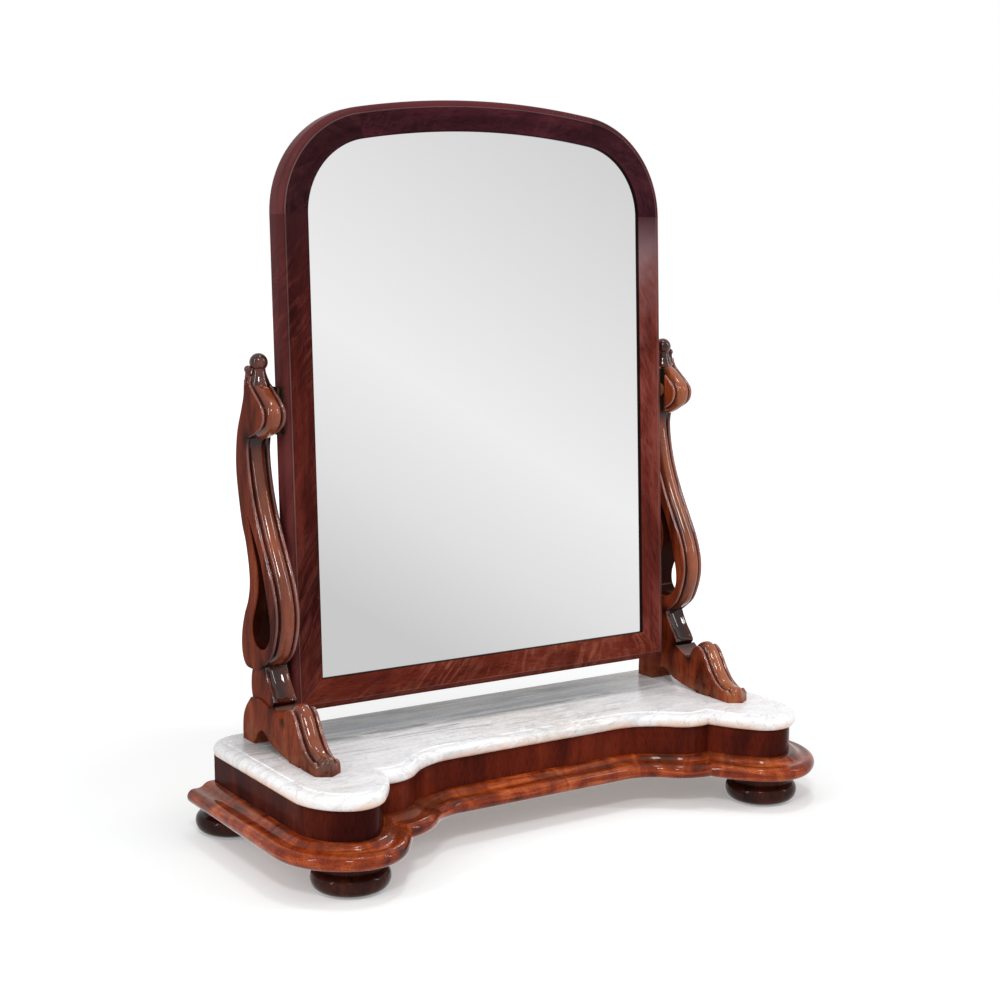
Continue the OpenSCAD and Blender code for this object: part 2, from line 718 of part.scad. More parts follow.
// Small wedges glued in the rebate keep the glass against the lip
module glass_wedges() {
    wedge_w = rebate_w - 2;
    half = glass_w / 2;
    color(pine) hung() {
        for (side = [0, 1]) mirror([side, 0, 0]) for (h = [0.15, 0.5, 0.85])
            translate([half + rebate_w - wedge_w, lip_t + glass_t, h * spring_h - wedge_l / 2])
                cube([wedge_w, wedge_t, wedge_l]);
        for (x = [-0.25, 0.25])
            translate([x * glass_w - wedge_l / 2, lip_t + glass_t, -rebate_w])
                cube([wedge_l, wedge_t, wedge_w]);
    }
}

module backboard() {
    color(pine) hung()
    difference() {
        plate(arch_points(board_edge), frame_t, backboard_t);
        for (p = board_screw_places) translate([p[0], frame_t + backboard_t + tiny, p[1]])
            rotate([90, 0, 0]) {
            cylinder(r1 = board_screw_head_r + ease, r2 = board_screw_r + ease,
                h = board_screw_head_r - board_screw_r, $fn = 32);
            cylinder(r = board_screw_r + ease, h = backboard_t + 1, $fn = 24);
        }
    }
}

board_screw_places = concat(stile_screws, [for (p = stile_screws) [-p[0], p[1]]], rail_screws,
    crown_screws);
module backboard_screws() {
    color(iron) hung()
    for (p = board_screw_places) translate([p[0], frame_t + backboard_t, p[1]]) rotate([90, 0, 0]) {
        cylinder(r1 = board_screw_head_r, r2 = board_screw_r,
            h = board_screw_head_r - board_screw_r, $fn = 32);
        cylinder(r = board_screw_r, h = backboard_t + board_screw_bite, $fn = 24);
    }
}

// Brass plate let into the side of each stile, with the stud that turns in the socket
module pivot_plate_right() {
    color(brass) hung()
    translate([frame_half, frame_t / 2, pivot_h])
    difference() {
        union() {
            translate([-plate_t, -plate_w / 2, -plate_l / 2]) cube([plate_t, plate_w, plate_l]);
            rotate([0, 90, 0]) cylinder(r = stud_r, h = pivot_gap + stud_in, $fn = 48);
        }
        for (z = [-1, 1]) translate([0, 0, z * plate_screw_z]) mirror([1, 0, 0]) countersink_hole();
    }
}

module pivot_plate_left() {
    mirror([1, 0, 0]) pivot_plate_right();
}

module pivot_screws() {
    color(brass) hung()
    for (side = [0, 1]) mirror([side, 0, 0]) for (z = [-1, 1])
        translate([frame_half, frame_t / 2, pivot_h + z * plate_screw_z])
            mirror([1, 0, 0]) plate_screw();
}

// Leather washer on each stud, which grips so that the mirror stays where it is put
module washer_right() {
    color("#7b4a2a") hung()
    translate([frame_half, frame_t / 2, pivot_h]) rotate([0, 90, 0])
    difference() {
        cylinder(r = washer_r, h = pivot_gap - seat_gap, $fn = 48);
        translate([0, 0, -1]) cylinder(r = stud_r + running, h = pivot_gap + 2, $fn = 48);
    }
}

module washer_left() {
    mirror([1, 0, 0]) washer_right();
}

marble_top();
frieze_centre();
frieze_left();
frieze_right();
back_rail();
bottom_board();
plinth_centre();
plinth_left();
plinth_right();
bearer_left();
bearer_right();
glue_blocks();
foot_blocks();
foot_front_left();
foot_front_right();
foot_back_left();
foot_back_right();
support_left();
support_right();
finial_left();
finial_right();
support_screws();
socket_plate_left();
socket_plate_right();
socket_screws();
bottom_rail();
stile_left();
stile_right();
shoulder_left();
shoulder_right();
crown();
mirror_glass();
glass_wedges();
backboard();
backboard_screws();
pivot_plate_left();
pivot_plate_right();
pivot_screws();
washer_left();
washer_right();
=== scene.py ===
import math
import bmesh
import bpy
from mathutils import Matrix, Vector
from mathutils.geometry import tessellate_polygon


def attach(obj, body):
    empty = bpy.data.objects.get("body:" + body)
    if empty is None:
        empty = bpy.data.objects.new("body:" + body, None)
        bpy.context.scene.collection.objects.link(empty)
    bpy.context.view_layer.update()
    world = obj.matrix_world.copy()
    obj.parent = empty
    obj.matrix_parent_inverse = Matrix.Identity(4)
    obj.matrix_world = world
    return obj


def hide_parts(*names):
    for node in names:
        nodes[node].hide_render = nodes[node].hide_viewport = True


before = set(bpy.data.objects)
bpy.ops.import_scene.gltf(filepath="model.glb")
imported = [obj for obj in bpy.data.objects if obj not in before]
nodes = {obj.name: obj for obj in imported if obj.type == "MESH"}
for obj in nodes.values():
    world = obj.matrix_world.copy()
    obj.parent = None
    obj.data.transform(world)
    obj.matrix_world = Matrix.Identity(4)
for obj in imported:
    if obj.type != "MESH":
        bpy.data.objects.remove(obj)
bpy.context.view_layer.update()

mm = 0.001
print("frame loaded:", len(nodes), "nodes")


def newObject(name, data):
    ob = bpy.data.objects.new(name, data)
    bpy.context.scene.collection.objects.link(ob)
    return ob


# the camera stands where the photograph was taken from
camera = {"place": (-1.1786, -1.7965, 0.7112), "yaw": 32.66, "pitch": -8.26, "lens": 63.64, "sight": 60}


def placeCamera(c):
    data = bpy.data.cameras.new("camera")
    data.lens = c["lens"]
    data.clip_end = c["sight"]
    yaw, pitch = math.radians(c["yaw"]), math.radians(c["pitch"])
    look = Vector((math.sin(yaw) * math.cos(pitch), math.cos(yaw) * math.cos(pitch), math.sin(pitch)))
    ob = newObject("camera", data)
    ob.location = c["place"]
    ob.rotation_euler = look.to_track_quat("-Z", "Y").to_euler()
    bpy.context.scene.camera = ob


placeCamera(camera)


# node helpers
def rgb(text):
    parts = [int(text[i:i + 2], 16) / 255 for i in (1, 3, 5)]
    return tuple(v / 12.92 if v <= 0.04045 else ((v + 0.055) / 1.055) ** 2.4 for v in parts) + (1,)


def newMaterial(name):
    mat = bpy.data.materials.new(name)
    mat.use_nodes = True
    return mat, mat.node_tree, mat.node_tree.nodes["Principled BSDF"]


def fill(tree, node, sockets):
    for key, value in sockets.items():
        if isinstance(value, bpy.types.NodeSocket):
            tree.links.new(value, node.inputs[key])
        else:
            node.inputs[key].default_value = value
    return node


def add(tree, kind, sockets=None, **settings):
    node = tree.nodes.new(kind)
    for key, value in settings.items():
        setattr(node, key, value)
    return fill(tree, node, sockets or {})


def calc(tree, operation, a, b=0.0, clamp=False):
    return add(tree, "ShaderNodeMath", {0: a, 1: b}, operation=operation, use_clamp=clamp).outputs[0]


def plus(tree, a, b, clamp=False):
    return calc(tree, "ADD", a, b, clamp)


def times(tree, first, *others):
    for other in others:
        first = calc(tree, "MULTIPLY", first, other)
    return first


def span(tree, value, low, high, start=0.0, end=1.0):
    return add(tree, "ShaderNodeMapRange", {0: value, 1: low, 2: high, 3: start, 4: end}).outputs[0]


def ramp(tree, value, stops, soft=False):
    node = add(tree, "ShaderNodeValToRGB", {0: value})
    node.color_ramp.interpolation = "EASE" if soft else "LINEAR"
    while len(node.color_ramp.elements) < len(stops):
        node.color_ramp.elements.new(0.5)
    for element, (at, colour) in zip(node.color_ramp.elements, stops):
        element.position = at
        element.color = colour
    return node.outputs[0]


def fade(tree, value, stops, soft=True):
    return ramp(tree, value, [(at, (v, v, v, 1)) for at, v in stops], soft)


def mixColour(tree, factor, a, b, kind="MIX"):
    return add(tree, "ShaderNodeMix", {0: factor, 6: a, 7: b}, data_type="RGBA", blend_type=kind).outputs[2]


def noise(tree, where, scale, detail=3.0, rough=0.55, wander=0.0, turn=0.0, shift=(0, 0, 0)):
    mapped = add(tree, "ShaderNodeMapping", {"Vector": where, "Rotation": (0, 0, turn), "Scale": scale,
                                             "Location": shift})
    return add(tree, "ShaderNodeTexNoise", {"Vector": mapped.outputs[0], "Scale": 1.0, "Detail": detail,
                                            "Roughness": rough, "Distortion": wander}).outputs[0]


def objectPlace(tree):
    return add(tree, "ShaderNodeTexCoord").outputs["Object"]


def axes(tree, where):
    return add(tree, "ShaderNodeSeparateXYZ", {0: where}).outputs


def distance(tree, where, point):
    return add(tree, "ShaderNodeVectorMath", {0: where, 1: point}, operation="DISTANCE").outputs["Value"]


def mark(tree, name):
    return add(tree, "ShaderNodeAttribute", attribute_name=name).outputs["Fac"]


def bumped(tree, strength, deep, height):
    return add(tree, "ShaderNodeBump", {"Strength": strength, "Distance": deep, "Height": height}).outputs[0]


# wood; each grain is a noise's detail, roughness and wander
woodHabits = {"streakShare": 0.55, "poreTone": 0.55, "relief": 0.12, "reliefDeep": 0.0006, "specular": 0.35,
              "coatRough": 0.06, "coatIor": 1.42, "tonesAt": (0.36, 0.5, 0.64), "figureShift": (0.31, 0.77, 0.13),
              "streakGrain": (6, 0.62, 0.6), "figureGrain": (2.5, 0.5, 0.9), "poreGrain": (2, 0.6),
              "featherGrain": (4, 0.6), "patchGrain": (2, 0.5, 0.4), "tonesWearAndSheenGrain": (4, 0.6, 0.5),
              "featherStops": [(0.42, 0), (0.66, 1)], "patchStops": [(0.36, 0.1), (0.62, 1)],
              "tonesWearAndSheenStops": [(0.38, 0), (0.62, 1)], "poreFrom": 0.36, "poreTo": 0.5, "roughSpan": (0.3, 0.7),
              "streakRelief": 0.6, "creaseShade": 0.85, "creaseCore": 0.15}
# marks that the mesh carries, all painted light: a band painted as lit, a highlight on crests and a highlight along
# beads; the pattern that breaks each up, its range, and the shares at the two ends of it
woodMarks = {"band": ("figure", 0.36, 0.62, 0.6, 1.15), "crestHighlight": ("figure", 0.35, 0.65, 0.5, 1.0),
             "beadHighlight": ("streak", 0.35, 0.65, 0.45, 1.0)}


def polishedWood(name, look):
    look = {**woodHabits, **look}
    mat, tree, shader = newMaterial(name)
    place = objectPlace(tree)
    where = add(tree, "ShaderNodeUVMap", uv_map="runs").outputs[0] if look.get("follows") else place
    streak = noise(tree, where, look["streak"], *look["streakGrain"])
    figure = noise(tree, where, look["figure"], *look["figureGrain"], shift=look["figureShift"])
    pore = noise(tree, where, look["pore"], *look["poreGrain"])
    share = look["streakShare"]
    value = plus(tree, times(tree, streak, share), times(tree, figure, 1 - share))
    colour = ramp(tree, value, [(at, rgb(look[key])) for at, key in zip(look["tonesAt"], ("deep", "main", "bright"))])
    if "flame" in look:
        flame = look["flame"]
        slanted = add(tree, "ShaderNodeMapping", {"Vector": where, "Rotation": (0, 0, flame["angle"])}).outputs[0]
        feather = noise(tree, slanted, flame["scale"], *look["featherGrain"], flame["wander"])
        patch = noise(tree, where, flame["patch"], *look["patchGrain"])
        amount = times(tree, fade(tree, feather, look["featherStops"]), fade(tree, patch, look["patchStops"]),
                       flame["amount"])
        colour = mixColour(tree, amount, colour, rgb(flame["colour"]))
    specks = fade(tree, pore, [(look["poreFrom"], look["poreTone"]), (look["poreTo"], 1)], False)
    colour = mixColour(tree, 1.0, colour, specks, "MULTIPLY")
    # colours laid by height: real wear, tones darker towards the top, and on the right stile a painted sheen
    for tonesWearAndSheen in look.get("tonesWearAndSheen", []):
        mask = span(tree, axes(tree, place)[2], tonesWearAndSheen["from"], tonesWearAndSheen["to"])
        if "patch" in tonesWearAndSheen:
            broken = noise(tree, place, tonesWearAndSheen["patch"], *look["tonesWearAndSheenGrain"])
            mask = times(tree, mask, fade(tree, broken, look["tonesWearAndSheenStops"]))
        colour = mixColour(tree, times(tree, mask, tonesWearAndSheen["amount"]), colour, rgb(tonesWearAndSheen["colour"]))
    # painted light from the marks: a lit band and highlights
    for key, (by, *limits) in woodMarks.items():
        if key in look:
            uneven = span(tree, streak if by == "streak" else figure, *limits)
            amount = times(tree, mark(tree, key), uneven, look[key + "Share"])
            colour = mixColour(tree, amount, colour, rgb(look[key]))
    # painted shade: the mark and the spots near the listed creases take the dark shade colour
    if "paintedShade" in look:
        shade = mark(tree, "paintedShade")
        flat = add(tree, "ShaderNodeVectorMath", {0: place, 1: (0, 1, 1)}, operation="MULTIPLY").outputs[0]
        for y, z, radius in look.get("shadedCreases", []):
            away = distance(tree, flat, (0, y, z))
            near = span(tree, away, radius * look["creaseCore"], radius, look["creaseShade"], 0.0)
            shade = calc(tree, "MAXIMUM", shade, near)
        colour = mixColour(tree, shade, colour, rgb(look["paintedShade"]))
    coat = look["coat"]
    if "gloss" in look:
        coat = plus(tree, times(tree, mark(tree, "gloss"), look["gloss"]), coat)
    height = plus(tree, times(tree, streak, look["streakRelief"]), pore)
    fill(tree, shader, {"Base Color": colour, "Roughness": span(tree, figure, *look["roughSpan"], *look["rough"]),
                        "Normal": bumped(tree, look["relief"], look["reliefDeep"], height),
                        "Specular IOR Level": look["specular"], "Coat Weight": coat,
                        "Coat Roughness": look["coatRough"], "Coat IOR": look["coatIor"]})
    return mat


crotchFlame = {"angle": 0.75, "scale": (15, 48, 1), "wander": 2.2, "patch": (8, 14, 1), "amount": 0.45,
               "colour": "#7b3f36"}
calmFlame = dict(crotchFlame, amount=0.2, colour="#66353a")
# frame: a painted shadow along the glass edge, the outer band painted as lit, and a painted highlight on the arris line
frameLook = {"follows": True, "deep": "#2a0b0b", "main": "#481914", "bright": "#6b2a22", "streak": (5, 40, 1),
             "figure": (7, 16, 1), "pore": (70, 1300, 1), "rough": (0.2, 0.34), "coat": 0.02, "specular": 0.015,
             "flame": crotchFlame, "paintedShade": "#0a0404", "crestHighlight": "#8a6f69", "crestHighlightShare": 0.4, "band": "#5c2b28",
             "bandShare": 0.45}
# carved supports: a painted highlight on the swelling middle and along the beads
carved = {"deep": "#3f130a", "main": "#732e1a", "bright": "#9a4d2c", "crestHighlight": "#9a5230", "streak": (36, 30, 5),
          "figure": (14, 12, 4), "pore": (900, 900, 60), "rough": (0.1, 0.2), "coat": 0.02, "coatRough": 0.05,
          "relief": 0.03, "specular": 0.012, "gloss": 0.96, "crestHighlightShare": 0.5, "beadHighlight": "#c0a09c", "beadHighlightShare": 0.4,
          # painted shade in the grooves, the collar's hollow, the slot and the creases, listed with their reaches
          "paintedShade": "#170706",
          "shadedCreases": [(0.1015, 0.484, 0.017), (0.0685, 0.216, 0.013), (0.0445, 0.174, 0.012), (0.0165, 0.161, 0.01),
                      (0.1025, 0.173, 0.007), (0.1015, 0.208, 0.008)],
          "tonesWearAndSheen": [{"from": 0.15, "to": 0.118, "patch": (70, 70, 70), "amount": 0.4, "colour": "#8d6650"}]}
frieze = {"follows": True, "deep": "#431610", "main": "#672415", "bright": "#85351e", "streak": (60, 7, 1),
          "figure": (9, 5, 1), "pore": (1300, 90, 1), "rough": (0.16, 0.26), "coat": 0.04, "specular": 0.012,
          "streakShare": 0.3}
pine = {"deep": "#7c5a38", "main": "#a47c50", "bright": "#bd9465", "rough": (0.6, 0.75), "coat": 0.0, "relief": 0.3,
        "poreTone": 0.8}
woodLooks = {
    # left stile: darker towards the top
    "stileMahogany": dict(frameLook, band="#693535", bandShare=0.64, crestHighlightShare=0.5,
                          tonesWearAndSheen=[{"from": 0.56, "to": 0.8, "patch": (3, 3, 3), "amount": 0.75, "colour": "#32151b"},
                                {"from": 0.69, "to": 0.745, "amount": 0.85, "colour": "#381a1e"}]),
    # right stile: a lit copy of the frame's wood with a painted sheen partway up, darker towards the top
    "paintedSheenMahogany": dict(frameLook, deep="#411411", main="#6a2a22", bright="#8a463c", band="#7c4c48",
                          flame=dict(crotchFlame, patch=(5, 9, 1), amount=0.6, colour="#8c4a40"),
                          tonesWearAndSheen=[{"from": 0.48, "to": 0.66, "patch": (3, 3, 3), "amount": 0.95, "colour": "#8f7376"},
                                {"from": 0.685, "to": 0.745, "amount": 0.9, "colour": "#3c1c23"}]),
    # left shoulder: a lit copy of the crown's wood, with a stronger lit band and highlight
    "litShoulderMahogany": dict(frameLook, deep="#281014", main="#371a1e", bright="#4a2629", band="#743d3d",
                             bandShare=0.66, crestHighlightShare=0.7, flame=calmFlame),
    "crownMahogany": dict(frameLook, deep="#230e14", main="#35161d", bright="#4f2029", band="#673236",
                          bandShare=0.6, flame=calmFlame),
    "railMahogany": dict(frameLook, deep="#4a1812", main="#6c2a1e", bright="#8f4634", streak=(9, 30, 1),
                         flame=dict(crotchFlame, angle=0.9, amount=0.6, colour="#a4604c")),
    "carvedMahogany": carved,
    # right support: a lit copy of the carved wood
    "litCarvedMahogany": dict(carved, deep="#4c1a0d", main="#8a3b20", bright="#b3612f", crestHighlight="#b36a3c"),
    "friezeMahogany": frieze,
    # left lobe: a shaded copy of the frieze wood
    "shadedLobeMahogany": dict(frieze, deep="#2a0b08", main="#43140e", bright="#5d2416"),
    "plinthMahogany": {"follows": True, "deep": "#471507", "main": "#933613", "bright": "#c86430",
                       "streak": (10, 110, 1), "figure": (46, 22, 1), "pore": (500, 500, 1), "rough": (0.1, 0.22),
                       "coat": 0.4, "specular": 0.04, "streakShare": 0.62, "relief": 0.05,
                       "tonesWearAndSheen": [{"from": 0.0525, "to": 0.059, "patch": (9, 16, 16), "amount": 0.55,
                                 "colour": "#4a3326"}]},
    "ballMahogany": {"deep": "#26100c", "main": "#4c231b", "bright": "#6f392c", "streak": (60, 60, 30),
                     "figure": (90, 90, 60), "pore": (900, 900, 300), "rough": (0.12, 0.2), "coat": 0.8,
                     "coatRough": 0.05, "specular": 0.08, "relief": 0.03},
    "bunMahogany": {"deep": "#1b0a08", "main": "#341611", "bright": "#52271b", "streak": (40, 40, 8),
                    "figure": (16, 16, 10), "pore": (900, 900, 80), "rough": (0.14, 0.24), "coat": 0.15,
                    "specular": 0.05},
    "oldPine": dict(pine, streak=(60, 60, 3), figure=(9, 9, 2), pore=(700, 700, 40)),
    "crossPine": dict(pine, streak=(3, 60, 60), figure=(2, 9, 9), pore=(40, 700, 700)),
}
finishes = {name: polishedWood(name, look) for name, look in woodLooks.items()}


# marble: each layer is one colour, laid where its mask and its broken pattern both say; the greys towards the back,
# under the mirror, are painted shade
marbleLook = {
    "white": "#fdfdff", "wobble": {"scale": (4, 9, 3), "grain": (5, 0.6), "deep": 0.045, "wide": 0.12},
    "fadeRight": (0.17, 0.28, 1.0, 0.12), "fadeLeft": (-0.34, -0.28, 0.2, 1.0), "paintedLightAndShade": (-0.04, 0.05),
    "band": (0.058, 0.08), "shadeStreaks": (-0.06, 0.05, 0.15, 0.85), "lineAt": 0.06, "line": (0.0, 0.018, 1.0, 0.0),
    "patchAt": (0.04, 0.02, 0.117), "patch": (0.045, 0.15, 1.0, 0.0), "lowerWarmth": (0.1115, 0.1015),
    "sheen": {"scale": (30, 60, 30), "rough": (0.3, 0.7, 0.18, 0.34), "relief": (0.08, 0.0005)}, "specular": 0.3,
    "glow": 0.06, "glowReach": (0.012, 0.01, 0.008),
    "layers": [
        {"colour": "#eaddd0", "share": 0.25, "scale": (5, 16, 8), "grain": (5, 0.6, 1.2),
         "stops": [(0.4, 0), (0.75, 1)]},
        # painted shade: a grey wash towards the back
        {"colour": "#a9a49f", "share": 0.4, "mask": "paintedLightAndShade"},
        {"colour": "#c9b39d", "share": 0.5, "mask": "patch", "scale": (55, 90, 60), "grain": (6, 0.7, 0.8),
         "stops": [(0.42, 0), (0.6, 1)]},
        # painted shade: a darker band, a dark line and grey streaks towards the back
        {"colour": "#59616a", "share": 0.9, "mask": "band", "scale": (3, 55, 20), "grain": (6, 0.62, 1.0),
         "stops": [(0.3, 0.4), (0.6, 1)]},
        {"colour": "#2b2b28", "share": 0.95, "mask": "line", "scale": (14, 70, 20), "grain": (5, 0.65, 0.9),
         "stops": [(0.38, 0.25), (0.54, 1)]},
        {"colour": "#59616a", "share": 1.0, "mask": "shadeStreaks", "scale": (5, 85, 30), "grain": (7, 0.68, 1.6, 0.03),
         "stops": [(0.48, 0), (0.66, 1)]},
        {"colour": "#8f9496", "share": 0.36, "scale": (7, 13, 9), "grain": (6, 0.65, 1.8, -0.6, (0.4, 0.2, 0)),
         "stops": [(0.485, 0), (0.5, 1), (0.515, 0)]},
        {"colour": "#59616a", "share": 0.11, "scale": (9, 20, 16), "grain": (8, 0.72, 2.4, 0.25),
         "stops": [(0.47, 0), (0.5, 1), (0.53, 0)]},
        # warmer towards the lower edge of the slab
        {"colour": "#ecbc98", "share": 0.8, "mask": "lowerWarmth", "scale": (16, 16, 16), "grain": (3, 0.6, 0.6),
         "stops": [(0.34, 0.15), (0.56, 1)]}]}


def veinedMarble(look):
    mat, tree, shader = newMaterial("veinedMarble")
    where = objectPlace(tree)
    x, y, z = axes(tree, where)
    wobble = look["wobble"]
    stray = plus(tree, noise(tree, where, wobble["scale"], *wobble["grain"]), -0.5)
    depth = plus(tree, y, times(tree, stray, wobble["deep"]))
    side = plus(tree, x, times(tree, stray, wobble["wide"]))
    middle = times(tree, span(tree, side, *look["fadeRight"]), span(tree, side, *look["fadeLeft"]))
    # masks for the painted shade towards the back, faded out to the sides
    masks = {key: times(tree, span(tree, depth, *look[key]), middle) for key in ("paintedLightAndShade", "band", "shadeStreaks")}
    off = calc(tree, "ABSOLUTE", plus(tree, depth, -look["lineAt"]))
    masks["line"] = times(tree, span(tree, off, *look["line"]), middle)
    masks["patch"] = span(tree, distance(tree, where, look["patchAt"]), *look["patch"])
    masks["lowerWarmth"] = span(tree, z, *look["lowerWarmth"])
    colour = rgb(look["white"])
    for layer in look["layers"]:
        parts = [masks[layer["mask"]]] if "mask" in layer else []
        if "scale" in layer:
            stops = layer["stops"]
            pattern = noise(tree, where, layer["scale"], *layer["grain"])
            parts.append(fade(tree, pattern, stops, len(stops) == 2))    # veins, with three stops, are sharp
        colour = mixColour(tree, times(tree, *parts, layer["share"]), colour, rgb(layer["colour"]))
    sheen = look["sheen"]
    uneven = noise(tree, where, sheen["scale"])
    fill(tree, shader, {"Base Color": colour, "Roughness": span(tree, uneven, *sheen["rough"]),
                        "Normal": bumped(tree, *sheen["relief"], uneven), "Specular IOR Level": look["specular"],
                        "Subsurface Weight": look["glow"], "Subsurface Radius": look["glowReach"]})
    return mat


# painted reflection: a soft band of light, laid into the silvering's colour, runs down to the right
glassLook = {"slope": 0.6, "from": 0.1, "to": 1.0, "rough": 0.02,
             "tones": [(0.06, "#c9c9c9"), (0.24, "#e0e0e0"), (0.43, "#eeeeee"), (0.67, "#e1e1e1"), (0.92, "#d3d3d3")]}


def silveredGlass(look):
    mat, tree, shader = newMaterial("silveredGlass")
    x, _, z = axes(tree, objectPlace(tree))
    # the painted reflection's band, by height and across
    slope = span(tree, plus(tree, z, times(tree, x, look["slope"])), look["from"], look["to"])
    paintedLightAndShade = ramp(tree, slope, [(at, rgb(tone)) for at, tone in look["tones"]])
    fill(tree, shader, {"Base Color": paintedLightAndShade, "Metallic": 1.0, "Roughness": look["rough"]})
    return mat


# brass and iron, dull with dark spots, the brass darkened further as painted shade, and grained leather
metalHabits = {"scale": (220, 220, 220), "grain": (5, 0.6, 0.4), "darkAt": 0.35, "baseAt": 0.6,
               "relief": (0.15, 0.0002)}
metalLooks = {"brass": {"name": "shadeDarkenedBrass", "base": "#40331f", "dark": "#1c160d", "rough": (0.3, 0.7, 0.65, 0.45)},
              "iron": {"name": "darkIron", "base": "#595756", "dark": "#332f2d", "rough": (0.3, 0.7, 0.62, 0.42)}}
leatherLook = {"deep": "#4a2c1a", "bright": "#7b4a2a", "deepAt": 0.1, "brightAt": 0.6, "grain": 900.0,
               "relief": (0.3, 0.0003), "rough": 0.65}


def wornMetal(look):
    look = {**metalHabits, **look}
    mat, tree, shader = newMaterial(look["name"])
    spots = noise(tree, objectPlace(tree), look["scale"], *look["grain"])
    colour = ramp(tree, spots, [(look["darkAt"], rgb(look["dark"])), (look["baseAt"], rgb(look["base"]))])
    fill(tree, shader, {"Base Color": colour, "Roughness": span(tree, spots, *look["rough"]),
                        "Normal": bumped(tree, *look["relief"], spots), "Metallic": 1.0})
    return mat


def grainedLeather(look):
    mat, tree, shader = newMaterial("grainedLeather")
    cells = add(tree, "ShaderNodeTexVoronoi", {"Vector": objectPlace(tree), "Scale": look["grain"]}).outputs["Distance"]
    colour = ramp(tree, cells, [(look["deepAt"], rgb(look["deep"])), (look["brightAt"], rgb(look["bright"]))])
    fill(tree, shader, {"Base Color": colour, "Normal": bumped(tree, *look["relief"], cells),
                        "Roughness": look["rough"]})
    return mat


finishes["marble"] = veinedMarble(marbleLook)
finishes["glass"] = silveredGlass(glassLook)
finishes.update({name: wornMetal(look) for name, look in metalLooks.items()})
finishes["leather"] = grainedLeather(leatherLook)
print("finishes made:", len(finishes))


# mesh helpers
def arc(cx, cy, r, a0, a1, steps):
    return [(cx + r * math.cos(math.radians(a0 + (a1 - a0) * i / steps)),
             cy + r * math.sin(math.radians(a0 + (a1 - a0) * i / steps))) for i in range(steps + 1)]


def smooth(points, steps):
    run = []
    last = len(points) - 1
    for i in range(last):
        p0, p1, p2, p3 = (Vector(points[max(0, min(last, i + k))]) for k in (-1, 0, 1, 2))
        for k in range(steps):
            t = k / steps
            run.append(tuple((2 * p1 + (p2 - p0) * t + (2 * p0 - 5 * p1 + 4 * p2 - p3) * t * t
                              + (3 * p1 - p0 - 3 * p2 + p3) * t * t * t) / 2))
    run.append(tuple(points[last]))
    return run


# faces point outwards, and bends over sharp degrees stay crisp
def softened(mesh, sharp, flatFrom=None):
    work = bmesh.new()
    work.from_mesh(mesh)
    bmesh.ops.recalc_face_normals(work, faces=work.faces)
    for face in work.faces:
        face.smooth = flatFrom is None or face.index < flatFrom
    for edge in work.edges:
        edge.smooth = len(edge.link_faces) == 2 and edge.calc_face_angle(0) < math.radians(sharp)
    work.to_mesh(mesh)
    work.free()


def settle(name, mesh, body, replaced):
    ob = newObject(name, mesh)
    if replaced:
        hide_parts(*replaced)
    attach(ob, body)


def finishPiece(name, verts, faces, look, body, replaced, runs=None, sharp=32, flatFrom=None, marks=None):
    mesh = bpy.data.meshes.new(name)
    mesh.from_pydata(verts, [], faces)
    if runs:
        layer = mesh.uv_layers.new(name="runs")
        for loop in mesh.loops:
            layer.data[loop.index].uv = runs[loop.vertex_index]
    softened(mesh, sharp, flatFrom)
    mesh.materials.append(finishes[look])
    for key, values in (marks or {}).items():
        mesh.attributes.new(key, "FLOAT", "POINT").data.foreach_set("value", values)
    settle(name, mesh, body, replaced)


# carries a section along a line; runs are metres along it and across it
def sweep(section, pathOf, place, closed=False):
    lines = [pathOf(out) for out, _ in section]
    count, rings = len(lines[0]), len(section)
    middle = lines[rings // 2]
    along, across = [0.0], [0.0]
    for steps, line in ((along, middle), (across, section)):
        for a, b in zip(line, line[1:]):
            steps.append(steps[-1] + math.dist(a, b) * mm)
    verts, runs, faces = [], [], []
    for i in range(count):
        for j in range(rings):
            verts.append(place(lines[j][i][0], lines[j][i][1], section[j][1]))
            runs.append((along[i], across[j]))
    for i in range(count if closed else count - 1):
        n = (i + 1) % count
        for j in range(rings):
            k = (j + 1) % rings
            faces.append((i * rings + j, n * rings + j, n * rings + k, i * rings + k))
    if not closed:
        ends = tessellate_polygon([[Vector((out, up, 0)) for out, up in section]])
        faces += [tuple(t) for t in ends]
        faces += [tuple((count - 1) * rings + v for v in reversed(t)) for t in ends]
    return verts, faces, runs


def mirrored(verts):
    return [(-v[0], v[1], v[2]) for v in verts]


# plan of the base, in millimetres: two lobes, each with a nose, and a serpentine centre with an ear at each end
base = {"caseX": 350, "backY": 138, "lobeY": -150, "lobeR": 34, "lobeIn": 51, "outerR": 70, "innerR": 200, "turn": 40,
        "centreBack": 114, "centreHalf": 120, "earOut": 46, "earR": 46, "earIn": 124, "plinthY": 146,
        "marbleBackY": 151, "marbleCorner": 36, "marbleProud": 1,
        "floorUp": 39, "plinthUp": 64, "friezeUp": 100, "marbleUp": 117, "plinthWall": 12, "friezeWall": 14,
        "bendSteps": 3,
        "arcSteps": {"middle": 6, "hollow": 20, "ear": 26, "inner": 10, "nose": 30, "outer": 14, "side": 8,
                     "corner": 16}}
arcSteps = base["arcSteps"]
centreY = base["lobeY"] + base["centreBack"]
earX = base["caseX"] - base["earIn"]
earY = centreY - base["earOut"] + base["earR"]
hollowDx = earX - base["centreHalf"]
hollowH = base["earR"] - base["earOut"]
hollowR = (hollowDx ** 2 + hollowH ** 2 - base["earR"] ** 2) / (2 * base["earOut"])
hollowA = math.degrees(math.atan2(hollowR + hollowH, hollowDx))
noseX, noseY = base["caseX"] - base["lobeIn"], base["lobeY"] + base["lobeR"]
outerX = base["caseX"] - base["outerR"]
outerA = math.degrees(math.acos((base["outerR"] - base["lobeIn"]) / (base["outerR"] - base["lobeR"])))
